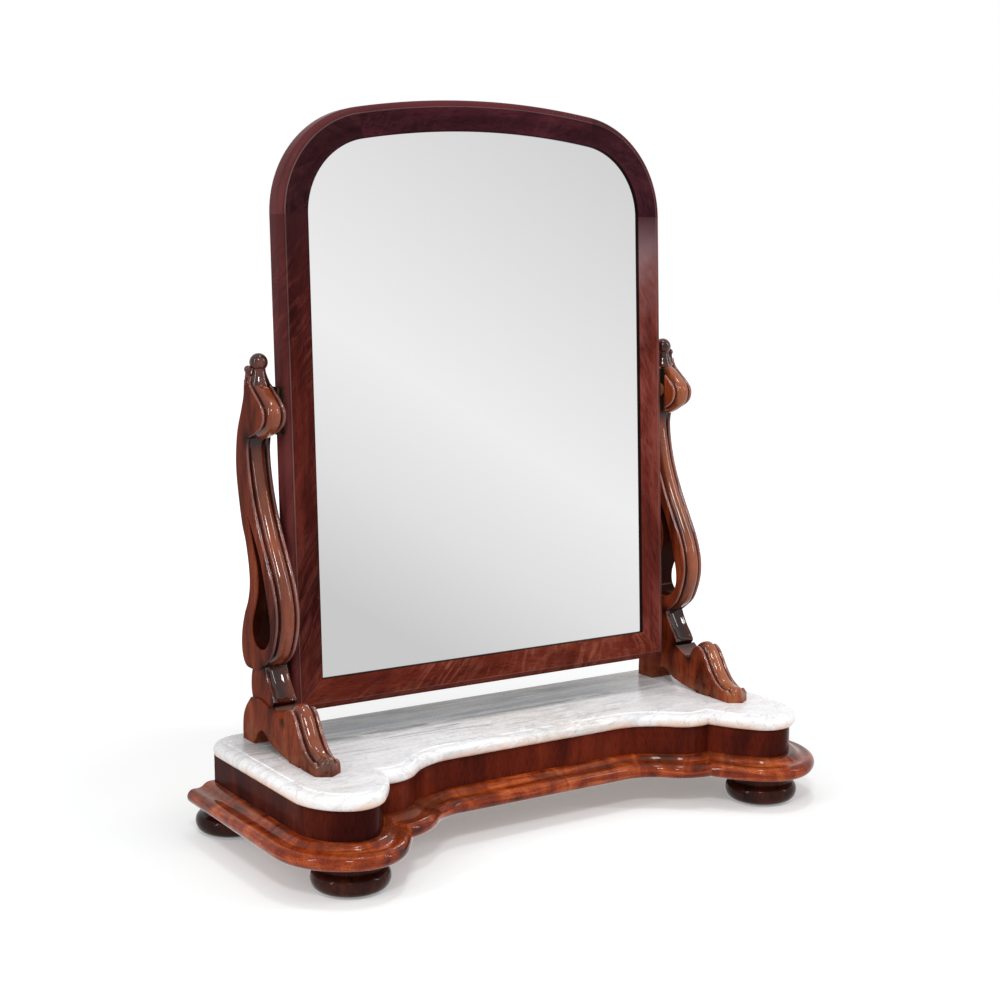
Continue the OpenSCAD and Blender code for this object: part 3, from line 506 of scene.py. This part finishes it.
outerY = noseY + (base["outerR"] - base["lobeR"]) * math.sin(math.radians(outerA))
innerX = noseX + (base["innerR"] - base["lobeR"]) * math.cos(math.radians(base["turn"]))
innerY = noseY + (base["innerR"] - base["lobeR"]) * math.sin(math.radians(base["turn"]))


# each line of the plan lies d outside the case; the crease is where ear and lobe meet
def crease(d):
    gap = math.hypot(earX - innerX, earY - innerY)
    ux, uy = (earX - innerX) / gap, (earY - innerY) / gap
    run = ((base["innerR"] + d) ** 2 - (base["earR"] + d) ** 2 + gap * gap) / (2 * gap)
    drop = math.sqrt((base["innerR"] + d) ** 2 - run * run)
    return innerX + run * ux - drop * uy, innerY + run * uy + drop * ux


def centreLine(d):
    x, y = crease(d)
    earEnd = math.degrees(math.atan2(y - earY, x - earX))
    right = arc(base["centreHalf"], centreY - hollowR, hollowR - d, 90, hollowA, arcSteps["hollow"])[:-1] \
        + arc(earX, earY, base["earR"] + d, hollowA - 180, earEnd, arcSteps["ear"])
    straight = [(k * base["centreHalf"] * 2 / arcSteps["middle"] - base["centreHalf"], right[0][1])
                for k in range(1, arcSteps["middle"])]
    return [(-x, y) for x, y in reversed(right)] + straight + right


def lobeFront(d):
    x, y = crease(d)
    start = math.degrees(math.atan2(y - innerY, x - innerX)) + 360
    return arc(innerX, innerY, base["innerR"] + d, start, 180 + base["turn"], arcSteps["inner"])[:-1] \
        + arc(noseX, noseY, base["lobeR"] + d, 180 + base["turn"], 360 - outerA, arcSteps["nose"])[:-1] \
        + arc(outerX, outerY, base["outerR"] + d, 360 - outerA, 360, arcSteps["outer"])


def lobeLine(d, end):
    front = lobeFront(d)
    x, y = front[-1]
    return front + [(x, y + (end - y) * k / arcSteps["side"]) for k in range(1, arcSteps["side"] + 1)]


def marbleLine(d):
    corner = base["marbleCorner"]
    lobe = lobeFront(d) \
        + arc(base["caseX"] - corner, base["marbleBackY"] - corner, corner + d, 0, 90, arcSteps["corner"])
    return [(-x, y) for x, y in reversed(lobe)] + centreLine(d)[1:-1] + lobe


def upright(x, y, z):
    return x * mm, y * mm, z * mm


# plinth, frieze and marble: their sections, out from the case and up
plinthShape = [(0, 0), (3, -0.1), (6, -0.6), (9, -1.9), (12, -4.2), (15, -5.9), (19, -6.6), (23, -6.5), (26, -6.7),
               (29.3, -8.3), (31.7, -11), (32.75, -14.6), (32.1, -18.8), (29.6, -22.4), (26.5, -24.4), (23.5, -25)]
marbleShape = [(-13, 0), (2.4, 0), (4.4, 1.2), (5.7, 3.6), (6, 7), (5.3, 10.2), (3.4, 12.6), (0.5, 14.4), (-3.4, 15.4),
               (-7.4, 15.7), (-8.0, 15.85), (-8.5, 16.8), (-9.4, 17), (-13, 17)]
# finish of each stretch, and how far its grain is shifted along and across
plinthFinish = {"Centre": ("plinthMahogany", 0, 0), "Right": ("plinthMahogany", 1.7, 0),
                "Left": ("plinthMahogany", 3.1, 0.4)}
# the left lobe's frieze takes a shaded copy of the frieze wood
friezeFinish = {"Centre": ("friezeMahogany", 0, 0), "Right": ("friezeMahogany", 2, 0), "Left": ("shadedLobeMahogany", 3, 0)}


def makeBase():
    top, high = base["plinthUp"], base["friezeUp"]
    moulding = [(-base["plinthWall"], top)] + [(x, top + y) for x, y in smooth(plinthShape, base["bendSteps"])] \
        + [(-base["plinthWall"], base["floorUp"])]
    band = [(-base["friezeWall"], top), (0, top), (0, high), (-base["friezeWall"], high)]
    for part, section, end, stretches in (("plinth", moulding, base["plinthY"], plinthFinish),
                                          ("frieze", band, base["backY"], friezeFinish)):
        centre = sweep(section, centreLine, upright)
        lobe = sweep(section, lambda d: lobeLine(d, end), upright)
        for stretch, (look, along, across) in stretches.items():
            verts, faces, runs = centre if stretch == "Centre" else lobe
            runs = [(u + along, v + across) for u, v in runs]
            finishPiece(part + stretch, mirrored(verts) if stretch == "Left" else verts, faces, look, "stand",
                        [part + "_" + stretch.lower()], runs)

    edge = [marbleShape[0]] + smooth(marbleShape[1:], base["bendSteps"])
    section = [(x + base["marbleProud"], high + z) for x, z in edge]
    verts, faces, _ = sweep(section, marbleLine, upright, closed=True)
    rings, count = len(section), len(verts) // len(section)
    faces = [f for f in faces if f[0] % rings != rings - 1]      # the slab has no inner wall
    for j, flip in ((0, True), (rings - 1, False)):
        loop = [Vector(verts[i * rings + j]) for i in range(count)]
        faces += [tuple(i * rings + j for i in (reversed(t) if flip else t)) for t in tessellate_polygon([loop])]
    finishPiece("marbleTop", verts, faces, "marble", "stand", ["marble_top"], sharp=24)


makeBase()
print("base made")


# supports: the scroll, the hollow collar and the foot; lines run back from the pivot and up from the marble
support = {"x": 300, "pivotY": 86.5, "steps": 6, "rise": 5.0, "dish": 5.2, "dishEdge": 0.86,
           "scrollHalf": (16.1, 16.1), "collarHalf": (15.9, 13.9), "footHalf": (16.5, 16.5),
           "bow": 8, "plainBow": 11, "bowFrom": -132, "bowTo": -150, "headFrom": 424, "headTo": 441, "headIn": 0.62,
           # grooveShade, dishShade and slotShade are painted shade; the stations at the end take a painted highlight
           # along the beads
           "headOut": 0.94, "faceTo": 0.95, "glossTo": 0.98, "grooveDeep": 2.6, "grooveShade": 0.6,
           "dishShade": (0.25, 0.65), "slotShade": 0.9, "merge": 0.01,
           "beadHighlight": {0.903: 0.6, 0.824: 1.0, 0.757: 0.35}}
noseLine = [(11, 441), (6, 430.5), (-7, 420.5), (-19, 411.5), (-27.5, 402.5), (-28, 392), (-22.5, 383.5), (-11, 376.5),
            (3, 371), (15, 367)]
loopFront = [(15, 367), (16.5, 352), (13, 326), (3.5, 294), (-12, 261), (-30, 230), (-45, 203), (-54, 178),
             (-55.5, 156), (-50, 135), (-39, 115), (-18, 99)]
collarFront = [(-18, 99), (-22.5, 90), (-29.5, 79), (-38, 69), (-43, 61)]
collarUnder = [(-43, 61), (-41.5, 58), (-38, 54.5), (-30, 50), (-12, 52), (4, 53), (16, 56)]
loopUnder = [(-18, 99), (-9, 94.5), (2, 91.6), (15, 91)]
collarOver = [(15, 91), (13, 96), (0, 98), (-12, 101), (-18, 99)]
scoopFront = [(-42, 56.5), (-50, 51.3), (-60, 47), (-70, 45)]
kneeLine = [(-70, 45), (-73.5, 51.5), (-79.5, 59.5), (-88.5, 63.5), (-97.5, 58.5), (-104, 50), (-110, 40.5),
            (-116.5, 31.5), (-124, 23.5), (-133, 17.5), (-141.5, 14.5), (-147, 15.5), (-152, 10.5)]
soleLine = [(-152, 0), (-117.5, 0), (-116.5, 2.6), (-113.5, 3.4), (-111.5, 0), (-86, 0)]
archUnder = [(-86, 0), (-84, 1.6), (-60, 4.8), (-36, 11), (-24, 18.5), (-15, 21), (-6, 18), (2, 10), (9, 0)]
heelLine = [(40, 0), (40, 15), (37.5, 30), (29.5, 43), (16, 56)]
footTop = [(16, 56), (2, 58), (-12, 58.4), (-25, 55.5), (-36, 53.5), (-42, 56.5)]
collarBack = [(16, 56), (19, 66), (18.5, 80), (15, 91)]
loopBack = [(15, 91), (27, 92), (35, 99), (39.5, 113), (38, 133), (30, 155), (19.5, 173), (14, 193), (15.5, 216),
            (22.5, 243), (31.5, 263), (39, 291), (45, 323), (45, 349), (39.5, 376), (27.5, 401), (20, 420), (20, 436)]
slotLine = [(16, 276), (4, 246), (-7, 218), (-10, 200), (-7, 182), (1, 165), (8, 149), (8, 134), (0, 123.5), (-14, 120),
            (-28, 124), (-38, 136), (-40, 152), (-36, 172), (-30, 191), (-22, 214), (-9, 240), (16, 276)]
# share of the half thickness, depth of the moulding there, share of the swelling middle, and the plain back's rounding
edgeStations = [(1.0, 1.9, 0, 0.9), (0.988, 1.1, 0, 0.35), (0.958, 0.45, 0, 0.08), (0.903, 0.08, 0, 0),
                (0.824, 0, 0, 0), (0.757, 0.3, 0, 0), (0.709, 1.0, 0, 0), (0.667, 2.1, 0, 0), (0.63, 2.9, 0, 0),
                (0.597, 2.6, 0.06, 0), (0.557, 1.9, 0.25, 0), (0.503, 1.2, 0.48, 0), (0.424, 0.7, 0.69, 0),
                (0.315, 0.3, 0.87, 0), (0.17, 0.08, 0.97, 0), (0.0, 0, 1, 0)]


def part01(value, low, high):
    return max(0.0, min(1.0, (value - low) / (high - low)))


# fronts are the moulded runs of the outline, each with the numbers of points over which its moulding, swelling and
# dish fade in and out; plains are the rest of it, bent or straight
def supportOutline(fronts, plains):
    outline, weight = [], []
    for points, *fades in fronts:
        for k, p in enumerate(smooth(points, support["steps"])):
            t = k / support["steps"]
            outline.append(p)
            weight.append(tuple(max(0.0, min(1.0, t / ends[0], (len(points) - 1 - t) / ends[1])) if ends else 0.0
                                for ends in fades))
    for points, bent in plains:
        line = smooth(points, support["steps"]) if bent else points
        outline += line
        weight += [None] * len(line)
    keep = [i for i in range(len(outline)) if math.dist(outline[i], outline[i - 1]) > support["merge"]]
    return [outline[i] for i in keep], [weight[i] for i in keep]


def inwards(line):
    tangents = [(Vector(line[(i + 1) % len(line)]) - Vector(line[i - 1])).normalized() for i in range(len(line))]
    return [Vector((-t.y, t.x)) for t in tangents]


def supportMesh(fronts, plains, half, slotted=False, headed=False):
    s = support
    outline, weight = supportOutline(fronts, plains)
    slot = smooth(slotLine, s["steps"])[:-1] if slotted else []
    line, normals, weight = outline + slot, inwards(outline) + inwards(slot), weight + [None] * len(slot)
    count, ring = len(outline), len(line)
    stations = [(-e[0],) + e[1:] for e in edgeStations] + edgeStations[-2::-1]
    plan, place = [], []
    marks = {"paintedShade": [], "crestHighlight": [], "gloss": [], "beadHighlight": []}
    for share, groove, swell, rounding in stations:
        side = abs(share)
        hollow = max(0.0, 1 - (share / s["dishEdge"]) ** 2)
        for i in range(ring):
            w = weight[i]
            # painted shade: grooves, the collar's hollow and the slot walls go darker
            inset, shadeAmount = rounding, s["slotShade"] * (i >= count)
            if w:
                inset = w[0] * groove - w[1] * swell * s["rise"] + w[2] * hollow * s["dish"]
                if side >= s["faceTo"]:
                    inset = max(inset, rounding)
                shadeAmount = min(1.0, groove / s["grooveDeep"]) * w[0] * s["grooveShade"] \
                    + w[2] * (s["dishShade"][0] + s["dishShade"][1] * hollow)
            marks["paintedShade"].append(max(0.0, min(1.0, shadeAmount)) if side < s["faceTo"] else 0.0)
            # painted highlight on the swelling middle
            marks["crestHighlight"].append(w[1] * swell if w else 0.0)
            marks["gloss"].append(1.0 if w and side < s["glossTo"] else 0.0)
            # painted highlight along the beads
            marks["beadHighlight"].append(w[0] * s["beadHighlight"].get(side, 0.0) if w else 0.0)
            y, z = Vector(line[i]) + normals[i] * inset
            plan.append(Vector((y, z, 0)))
            y -= part01(y, s["bowFrom"], s["bowTo"]) * (1 - side) * (s["bow"] if w else s["plainBow"])
            head = part01(z, s["headFrom"], s["headTo"])
            end, wide = (s["headOut"], half[1]) if share > 0 else (s["headIn"], half[0])
            narrow = 1 - (1 - end) * head * head * (3 - 2 * head) if headed else 1
            place.append(upright(s["x"] + share * wide * narrow, s["pivotY"] + y, base["marbleUp"] + z))
    faces = []
    for a in range(0, (len(stations) - 1) * ring, ring):
        b = a + ring
        for i in range(count):
            j = (i + 1) % count
            faces.append((a + i, a + j, b + j, b + i))
        for i in range(count, ring):
            j = i + 1 if i + 1 < ring else count
            faces.append((a + i, b + i, b + j, a + j))
    flat = len(faces)
    for a, back in ((0, False), ((len(stations) - 1) * ring, True)):
        loops = [plan[a:a + count]] + ([plan[a + count:a + ring]] if slotted else [])
        caps = [tuple(a + i for i in t) for t in tessellate_polygon(loops)]
        faces += [tuple(reversed(t)) for t in caps] if back else caps
    return place, faces, flat, marks


scroll = supportMesh([(noseLine, (1.5, 0.8), (1.8, 1.2), None), (loopFront, (1.0, 0.5), (2.0, 1.2), None)],
                     [(loopUnder, True), (loopBack, True)], support["scrollHalf"], True, True)
collar = supportMesh([(collarFront, None, None, (0.5, 0.7))],
                     [(collarUnder, False), (collarBack, True), (collarOver, True)], support["collarHalf"])
foot = supportMesh([(scoopFront, None, None, None), (kneeLine, (1.2, 0.8), (1.6, 1.5), None)],
                   [(soleLine, False), (archUnder, True), (heelLine, True), (footTop, True)], support["footHalf"])
for side, look in (("right", "litCarvedMahogany"), ("left", "carvedMahogany")):
    for label, (verts, faces, flat, marks) in (("support", scroll), ("supportCollar", collar), ("supportFoot", foot)):
        finishPiece(label + side.title(), mirrored(verts) if side == "left" else verts, faces, look, "stand",
                    ["support_" + side], sharp=38, flatFrom=flat, marks=marks)
print("supports made")


# turned pieces: a profile carried round an upright axis
def turnedTree():
    tree = bpy.data.node_groups.new("turnedPiece", "GeometryNodeTree")
    tree.interface.new_socket("Geometry", in_out="OUTPUT", socket_type="NodeSocketGeometry")
    keys = {}
    for name, kind in (("Geometry", "Geometry"), ("Steps around", "Int"), ("Finish", "Material")):
        keys[name] = tree.interface.new_socket(name, in_out="INPUT", socket_type="NodeSocket" + kind)
    keys["Steps around"].default_value = 96
    source = tree.nodes.new("NodeGroupInput").outputs
    result = tree.nodes.new("NodeGroupOutput")
    points = add(tree, "GeometryNodeMeshToPoints", {"Mesh": source["Geometry"]}).outputs[0]
    position = add(tree, "GeometryNodeInputPosition").outputs[0]
    count = add(tree, "GeometryNodeAttributeDomainSize", {"Geometry": points}, component="POINTCLOUD")
    rows = count.outputs["Point Count"]
    # a flat grid of one row for each point of the profile, rolled up round the axis
    grid = add(tree, "GeometryNodeMeshGrid", {"Size X": 1.0, "Size Y": 1.0, "Vertices Y": rows,
                                              "Vertices X": plus(tree, source["Steps around"], 1.0)})
    across, along, _ = axes(tree, position)
    row = calc(tree, "ROUND", times(tree, plus(tree, along, 0.5), plus(tree, rows, -1.0)))
    sample = add(tree, "GeometryNodeSampleIndex", {"Geometry": points, "Value": position, "Index": row},
                 data_type="FLOAT_VECTOR", domain="POINT")
    radius, _, up = axes(tree, sample.outputs[0])
    turn = times(tree, plus(tree, across, 0.5), 2 * math.pi)
    spot = add(tree, "ShaderNodeCombineXYZ", {0: times(tree, radius, calc(tree, "COSINE", turn)),
                                              1: times(tree, radius, calc(tree, "SINE", turn)), 2: up})
    shape = grid.outputs["Mesh"]
    for kind, sockets in (("SetPosition", {"Position": spot.outputs[0]}), ("MergeByDistance", {"Distance": 0.00001}),
                          ("SetShadeSmooth", {}), ("RealizeInstances", {}),
                          ("SetMaterial", {"Material": source["Finish"]})):
        shape = add(tree, "GeometryNode" + kind, {"Geometry": shape, **sockets}).outputs[0]
    fill(tree, result, {0: shape})
    return tree, keys["Steps around"].identifier, keys["Finish"].identifier


turned, aroundSocket, finishSocket = turnedTree()


def turnedMesh(name, profile, around, look, sharp=40):
    mesh = bpy.data.meshes.new(name + "Points")
    mesh.from_pydata([(r * mm, 0, z * mm) for r, z in profile], [], [])
    ob = newObject(name, mesh)
    modifier = ob.modifiers.new("nodes", "NODES")
    modifier.node_group = turned
    modifier[aroundSocket] = around
    modifier[finishSocket] = finishes[look]
    bpy.context.view_layer.update()
    plain = bpy.data.meshes.new_from_object(ob.evaluated_get(bpy.context.evaluated_depsgraph_get()))
    ob.modifiers.clear()
    bpy.data.objects.remove(ob)
    softened(plain, sharp)
    plain.materials.clear()
    plain.materials.append(finishes[look])
    return plain


def placed(name, mesh, offset, replaced):
    copy = mesh.copy()
    copy.name = name
    copy.transform(Matrix.Translation(Vector(offset) * mm))
    settle(name, copy, "stand", replaced)


bun = {"radius": 45.8, "height": 39, "spigot": 7, "spigotTop": 63, "around": 112, "bendSteps": 6,
       "places": {"front_left": (-299, -116), "front_right": (299, -116), "back_left": (-327, 137),
                  "back_right": (327, 137)},
       "shape": [(0.57, 0), (0.8, 0.045), (0.94, 0.16), (1, 0.34), (0.985, 0.5), (0.925, 0.6), (0.83, 0.655),
                 (0.8, 0.7)],
       "neck": [(0.808, 0.85), (0.815, 1.0)]}
shape = [(0, 0), (0.3, 0)] + smooth(bun["shape"], bun["bendSteps"]) + bun["neck"]
profile = [(r * bun["radius"], z * bun["height"]) for r, z in shape]
profile += [(bun["spigot"], bun["height"]), (bun["spigot"], bun["spigotTop"]), (0, bun["spigotTop"])]
bunMesh = turnedMesh("bunFoot", profile, bun["around"], "bunMahogany")
for name, (x, y) in bun["places"].items():
    placed("bun_" + name, bunMesh, (x, y, 0), ["foot_" + name])

ball = {"radius": 11, "up": 15.4, "at": (298.5, 100.5, 558), "around": 64, "bendSteps": 3, "arcSteps": 26,
        "neck": [(13.4, -11), (12.8, -8), (11.5, -4.5), (9.9, -0.5), (8.8, 3.2), (8.2, 6.2), (8.2, 8)]}
first = math.degrees(math.asin((ball["neck"][-1][1] - ball["up"]) / ball["radius"]))
profile = [(0, ball["neck"][0][1])] + smooth(ball["neck"], ball["bendSteps"]) \
    + arc(0, ball["up"], ball["radius"], first, 90, ball["arcSteps"])
ballMesh = turnedMesh("ballFinial", profile, ball["around"], "ballMahogany")
bead = {"radius": 4.6, "from": -40, "at": (311.6, 102, 565.6), "around": 40, "arcSteps": 12,
        "stalk": [(0, -22), (4.2, -22), (4.3, -14), (3.9, -8), (3.4, -5), (3.5, -3.6)]}
profile = bead["stalk"] + arc(0, 0, bead["radius"], bead["from"], 90, bead["arcSteps"])
beadMesh = turnedMesh("sideBead", profile, bead["around"], "ballMahogany")
for name, side in (("left", -1), ("right", 1)):
    for label, mesh, (x, y, z), hidden in (("ball_", ballMesh, ball["at"], ["finial_" + name]),
                                           ("sideBead_", beadMesh, bead["at"], [])):
        placed(label + name, mesh, (x * side, y, z), hidden)
print("turned pieces made")


# mirror frame, drawn upright from the middle of the foot of the glass and then hung on its pivots
mirror = {"glassW": 480, "glassH": 654, "crownR": 1030, "shoulderR": 90, "faceW": 38, "thick": 26, "arris": 7.5,
          "step": 1.3, "rebate": 8, "lip": 3, "glassT": 4, "pivotH": 324, "pivotY": 86.5, "pivotUp": 517, "tilt": 2.1,
          "sightEdge": [(0, 0.35), (0.12, 0.1), (0.35, 0), (1.3, 0)], "backEdge": 0.5, "glassUnder": 1,
          "arrisLine": [(-1.6, 0), (-0.9, 0), (-0.3, 0.08), (-0.05, 0.4)], "lipShade": 0.95, "mitreHighlight": 0.6,
          "rows": 24, "mitreGap": 0.0022, "flats": 4, "arrisSteps": 10, "shoulderSteps": 32, "crownSteps": 48}
hang = Matrix.Translation((0, mirror["pivotY"], mirror["pivotUp"])) \
    @ Matrix.Rotation(math.radians(-mirror["tilt"]), 4, "X") \
    @ Matrix.Translation((0, -mirror["thick"] / 2, -mirror["pivotH"]))
halfW = mirror["glassW"] / 2
archX = halfW - mirror["shoulderR"]
reach = mirror["crownR"] - mirror["shoulderR"]
crownH = mirror["glassH"] - mirror["crownR"]
springH = crownH + math.sqrt(reach ** 2 - archX ** 2)
crownA = math.degrees(math.asin(archX / reach))
rows, gap = mirror["rows"], mirror["mitreGap"]
shares = [0, gap] + [k / rows for k in range(1, rows)] + [1 - gap, 1]     # close to the ends for a crisp mitre


def hungPlace(x, h, back):
    return tuple(hang @ Vector((x, back, h)) * mm)


def railLine(d):
    return [(-halfW - d + 2 * (halfW + d) * k, -d) for k in shares]


def stileLine(d):
    return [(halfW + d, -d + (springH + d) * k) for k in shares]


def shoulderLine(d):
    return arc(archX, springH, mirror["shoulderR"] + d, 0, 90 - crownA, mirror["shoulderSteps"])


def crownLine(d, end=90 + crownA, steps=mirror["crownSteps"]):
    return arc(0, crownH, mirror["crownR"] + d, 90 - crownA, end, steps)


# piece, its line, node and finish, how far its grain is shifted, and the rows that are mitred
frameParts = [("bottomRail", railLine, "bottom_rail", "railMahogany", (0, 0), (0, len(shares) - 1)),
              ("stileRight", stileLine, "stile_right", "paintedSheenMahogany", (1.3, 0.2), (0,)),
              ("stileLeft", stileLine, "stile_left", "stileMahogany", (2.6, 0.5), (0,)),
              ("shoulderRight", shoulderLine, "shoulder_right", "crownMahogany", (3.1, 0.3), ()),
              ("shoulderLeft", shoulderLine, "shoulder_left", "litShoulderMahogany", (4.4, 0.1), ()),
              ("crown", crownLine, "crown", "crownMahogany", (5.2, 0.4), ())]


def makeFrame():
    w, t, r, edge = mirror["faceW"], mirror["thick"], mirror["arris"], mirror["backEdge"]
    lip, rebate, flats = mirror["lip"], mirror["rebate"], mirror["flats"]
    face = w - r
    backLine = [(w - edge, t), (rebate, t), (rebate, lip)]
    section = [(0, lip)] + mirror["sightEdge"] + [(k * face / flats, 0) for k in range(1, flats)] \
        + [(face + out, back) for out, back in mirror["arrisLine"]] \
        + arc(face, r + mirror["step"], r, -90, 0, mirror["arrisSteps"]) + [(w, t - edge)] + backLine
    rings, sight, behind = len(section), len(mirror["sightEdge"]), len(section) - len(backLine)
    arrisFrom = 1 + sight + flats
    arrisTo = arrisFrom + len(mirror["arrisLine"]) - 2
    for name, path, node, look, (du, dv), mitred in frameParts:
        verts, faces, runs = sweep(section, path, hungPlace)
        marks = {"paintedShade": [], "band": [], "crestHighlight": []}
        # painted shadow on the sight edge, a band painted as lit round the outside, and a painted highlight on the
        # arris line and, fainter, across the mitres
        for n in range(len(verts)):
            row, j = divmod(n, rings)
            onMitre = row in mitred and sight < j < arrisTo
            marks["paintedShade"].append(mirror["lipShade"] if j < sight else 0.0)
            marks["band"].append(1.0 if arrisTo < j < behind else 0.0)
            marks["crestHighlight"].append(1.0 if arrisFrom <= j <= arrisTo else mirror["mitreHighlight"] if onMitre else 0.0)
        finishPiece(name, mirrored(verts) if name.endswith("Left") else verts, faces, look, "mirror",
                    [node], [(u + du, v + dv) for u, v in runs], marks=marks)

    d = rebate - mirror["glassUnder"]
    right = [(halfW + d, -d)] + shoulderLine(d)[:-1] + crownLine(d, 90, mirror["crownSteps"] // 2)
    outline = right + [(-x, h) for x, h in reversed(right[:-1])]
    n = len(outline)
    verts = [hungPlace(x, h, back) for back in (lip, lip + mirror["glassT"]) for x, h in outline]
    caps = tessellate_polygon([[Vector((x, h, 0)) for x, h in outline]])
    faces = [tuple(c) for c in caps] + [tuple(n + i for i in reversed(c)) for c in caps]
    faces += [(i, (i + 1) % n, n + (i + 1) % n, n + i) for i in range(n)]
    finishPiece("mirrorGlass", verts, faces, "glass", "mirror", ["mirror_glass"], sharp=20)


makeFrame()
print("mirror made")


# CAD pieces that stay
kept = {"oldPine": ["backboard", "glass_wedges", "bearer_left", "bearer_right", "glue_blocks", "foot_blocks"],
        "crossPine": ["back_rail", "bottom_board"],
        "brass": ["socket_plate_left", "socket_plate_right", "socket_screws", "pivot_plate_left", "pivot_plate_right",
                  "pivot_screws"],
        "iron": ["support_screws", "backboard_screws"], "leather": ["washer_left", "washer_right"]}
for look, names in kept.items():
    for name in names:
        mesh = nodes[name].data
        mesh.materials.clear()
        mesh.materials.append(finishes[look])
print("kept pieces painted")


# floor, world and lamps
studio = {"floorTone": 0.86, "toneStep": 0.02, "floorHalf": 14, "liftNear": 0.24, "liftFar": 0.62, "nearReach": 0.55,
          "farReach": 1.7, "ambient": 0.55, "aim": (0, 0, 0.35),
          # each lamp's place, size and power
          "lamps": {"key": ((-1.6, -2.4, 2.9), (0.6, 0.4), 34), "side": ((-2.9, -0.4, 1.6), (0.14, 2.0), 21),
                    "right": ((2.4, -1.9, 1.9), (0.16, 1.8), 23), "over": ((0.2, -0.3, 3.2), (0.6, 0.3), 13)}}


# camera, mirrors and glass see white, and the rest gets the plain level
def makeWorld(s):
    world = bpy.data.worlds.new("world")
    bpy.context.scene.world = world
    world.use_nodes = True
    tree = world.node_tree
    tree.nodes.clear()
    path = add(tree, "ShaderNodeLightPath").outputs
    seen = plus(tree, plus(tree, path["Is Camera Ray"], path["Is Glossy Ray"]), path["Is Transmission Ray"], True)
    plain, white = (add(tree, "ShaderNodeBackground", {"Color": (1, 1, 1, 1), "Strength": strength}).outputs[0]
                    for strength in (s["ambient"], 1.0))
    mixed = add(tree, "ShaderNodeMixShader", {0: seen, 1: plain, 2: white}).outputs[0]
    add(tree, "ShaderNodeOutputWorld", {0: mixed})


def makeFloor(s):
    mat, tree, shader = newMaterial("paleFloor")
    where = objectPlace(tree)
    low, tone, high = s["floorTone"] - s["toneStep"], s["floorTone"], s["floorTone"] + s["toneStep"]
    cloud = ramp(tree, noise(tree, where, (3, 3, 3), 2), [(0.3, (low, tone, tone, 1)), (0.7, (tone, high, high, 1))])
    fill(tree, shader, {"Base Color": cloud, "Roughness": 0.9, "Specular IOR Level": 0.0})
    path = add(tree, "ShaderNodeLightPath").outputs
    away = add(tree, "ShaderNodeVectorMath", {0: where}, operation="LENGTH").outputs["Value"]
    lift = span(tree, away, s["nearReach"], s["farReach"], s["liftNear"], s["liftFar"])
    lifted, white = (add(tree, "ShaderNodeEmission", {"Color": (1, 1, 1, 1), "Strength": strength}).outputs[0]
                     for strength in (times(tree, path["Is Camera Ray"], lift), 1.0))
    both = add(tree, "ShaderNodeAddShader", {0: shader.outputs[0], 1: lifted}).outputs[0]
    echoed = plus(tree, path["Is Glossy Ray"], path["Is Transmission Ray"], True)
    seen = add(tree, "ShaderNodeMixShader", {0: echoed, 1: both, 2: white}).outputs[0]
    fill(tree, tree.nodes["Material Output"], {0: seen})
    mesh = bpy.data.meshes.new("floor")
    corners = [(x * s["floorHalf"], y * s["floorHalf"], 0) for x, y in ((-1, -1), (1, -1), (1, 1), (-1, 1))]
    mesh.from_pydata(corners, [], [(0, 1, 2, 3)])
    mesh.materials.append(mat)
    floor = newObject("floor", mesh)


def placeLamps(s):
    for name, (at, size, power) in s["lamps"].items():
        data = bpy.data.lights.new(name, "AREA")
        data.shape = "RECTANGLE"
        data.size, data.size_y = size
        data.energy = power
        ob = newObject(name, data)
        ob.location = at
        ob.rotation_euler = (Vector(s["aim"]) - Vector(at)).to_track_quat("-Z", "Y").to_euler()


makeWorld(studio)
makeFloor(studio)
placeLamps(studio)
bpy.context.scene.view_settings.view_transform = "Standard"
print("studio made")

bpy.context.view_layer.update()
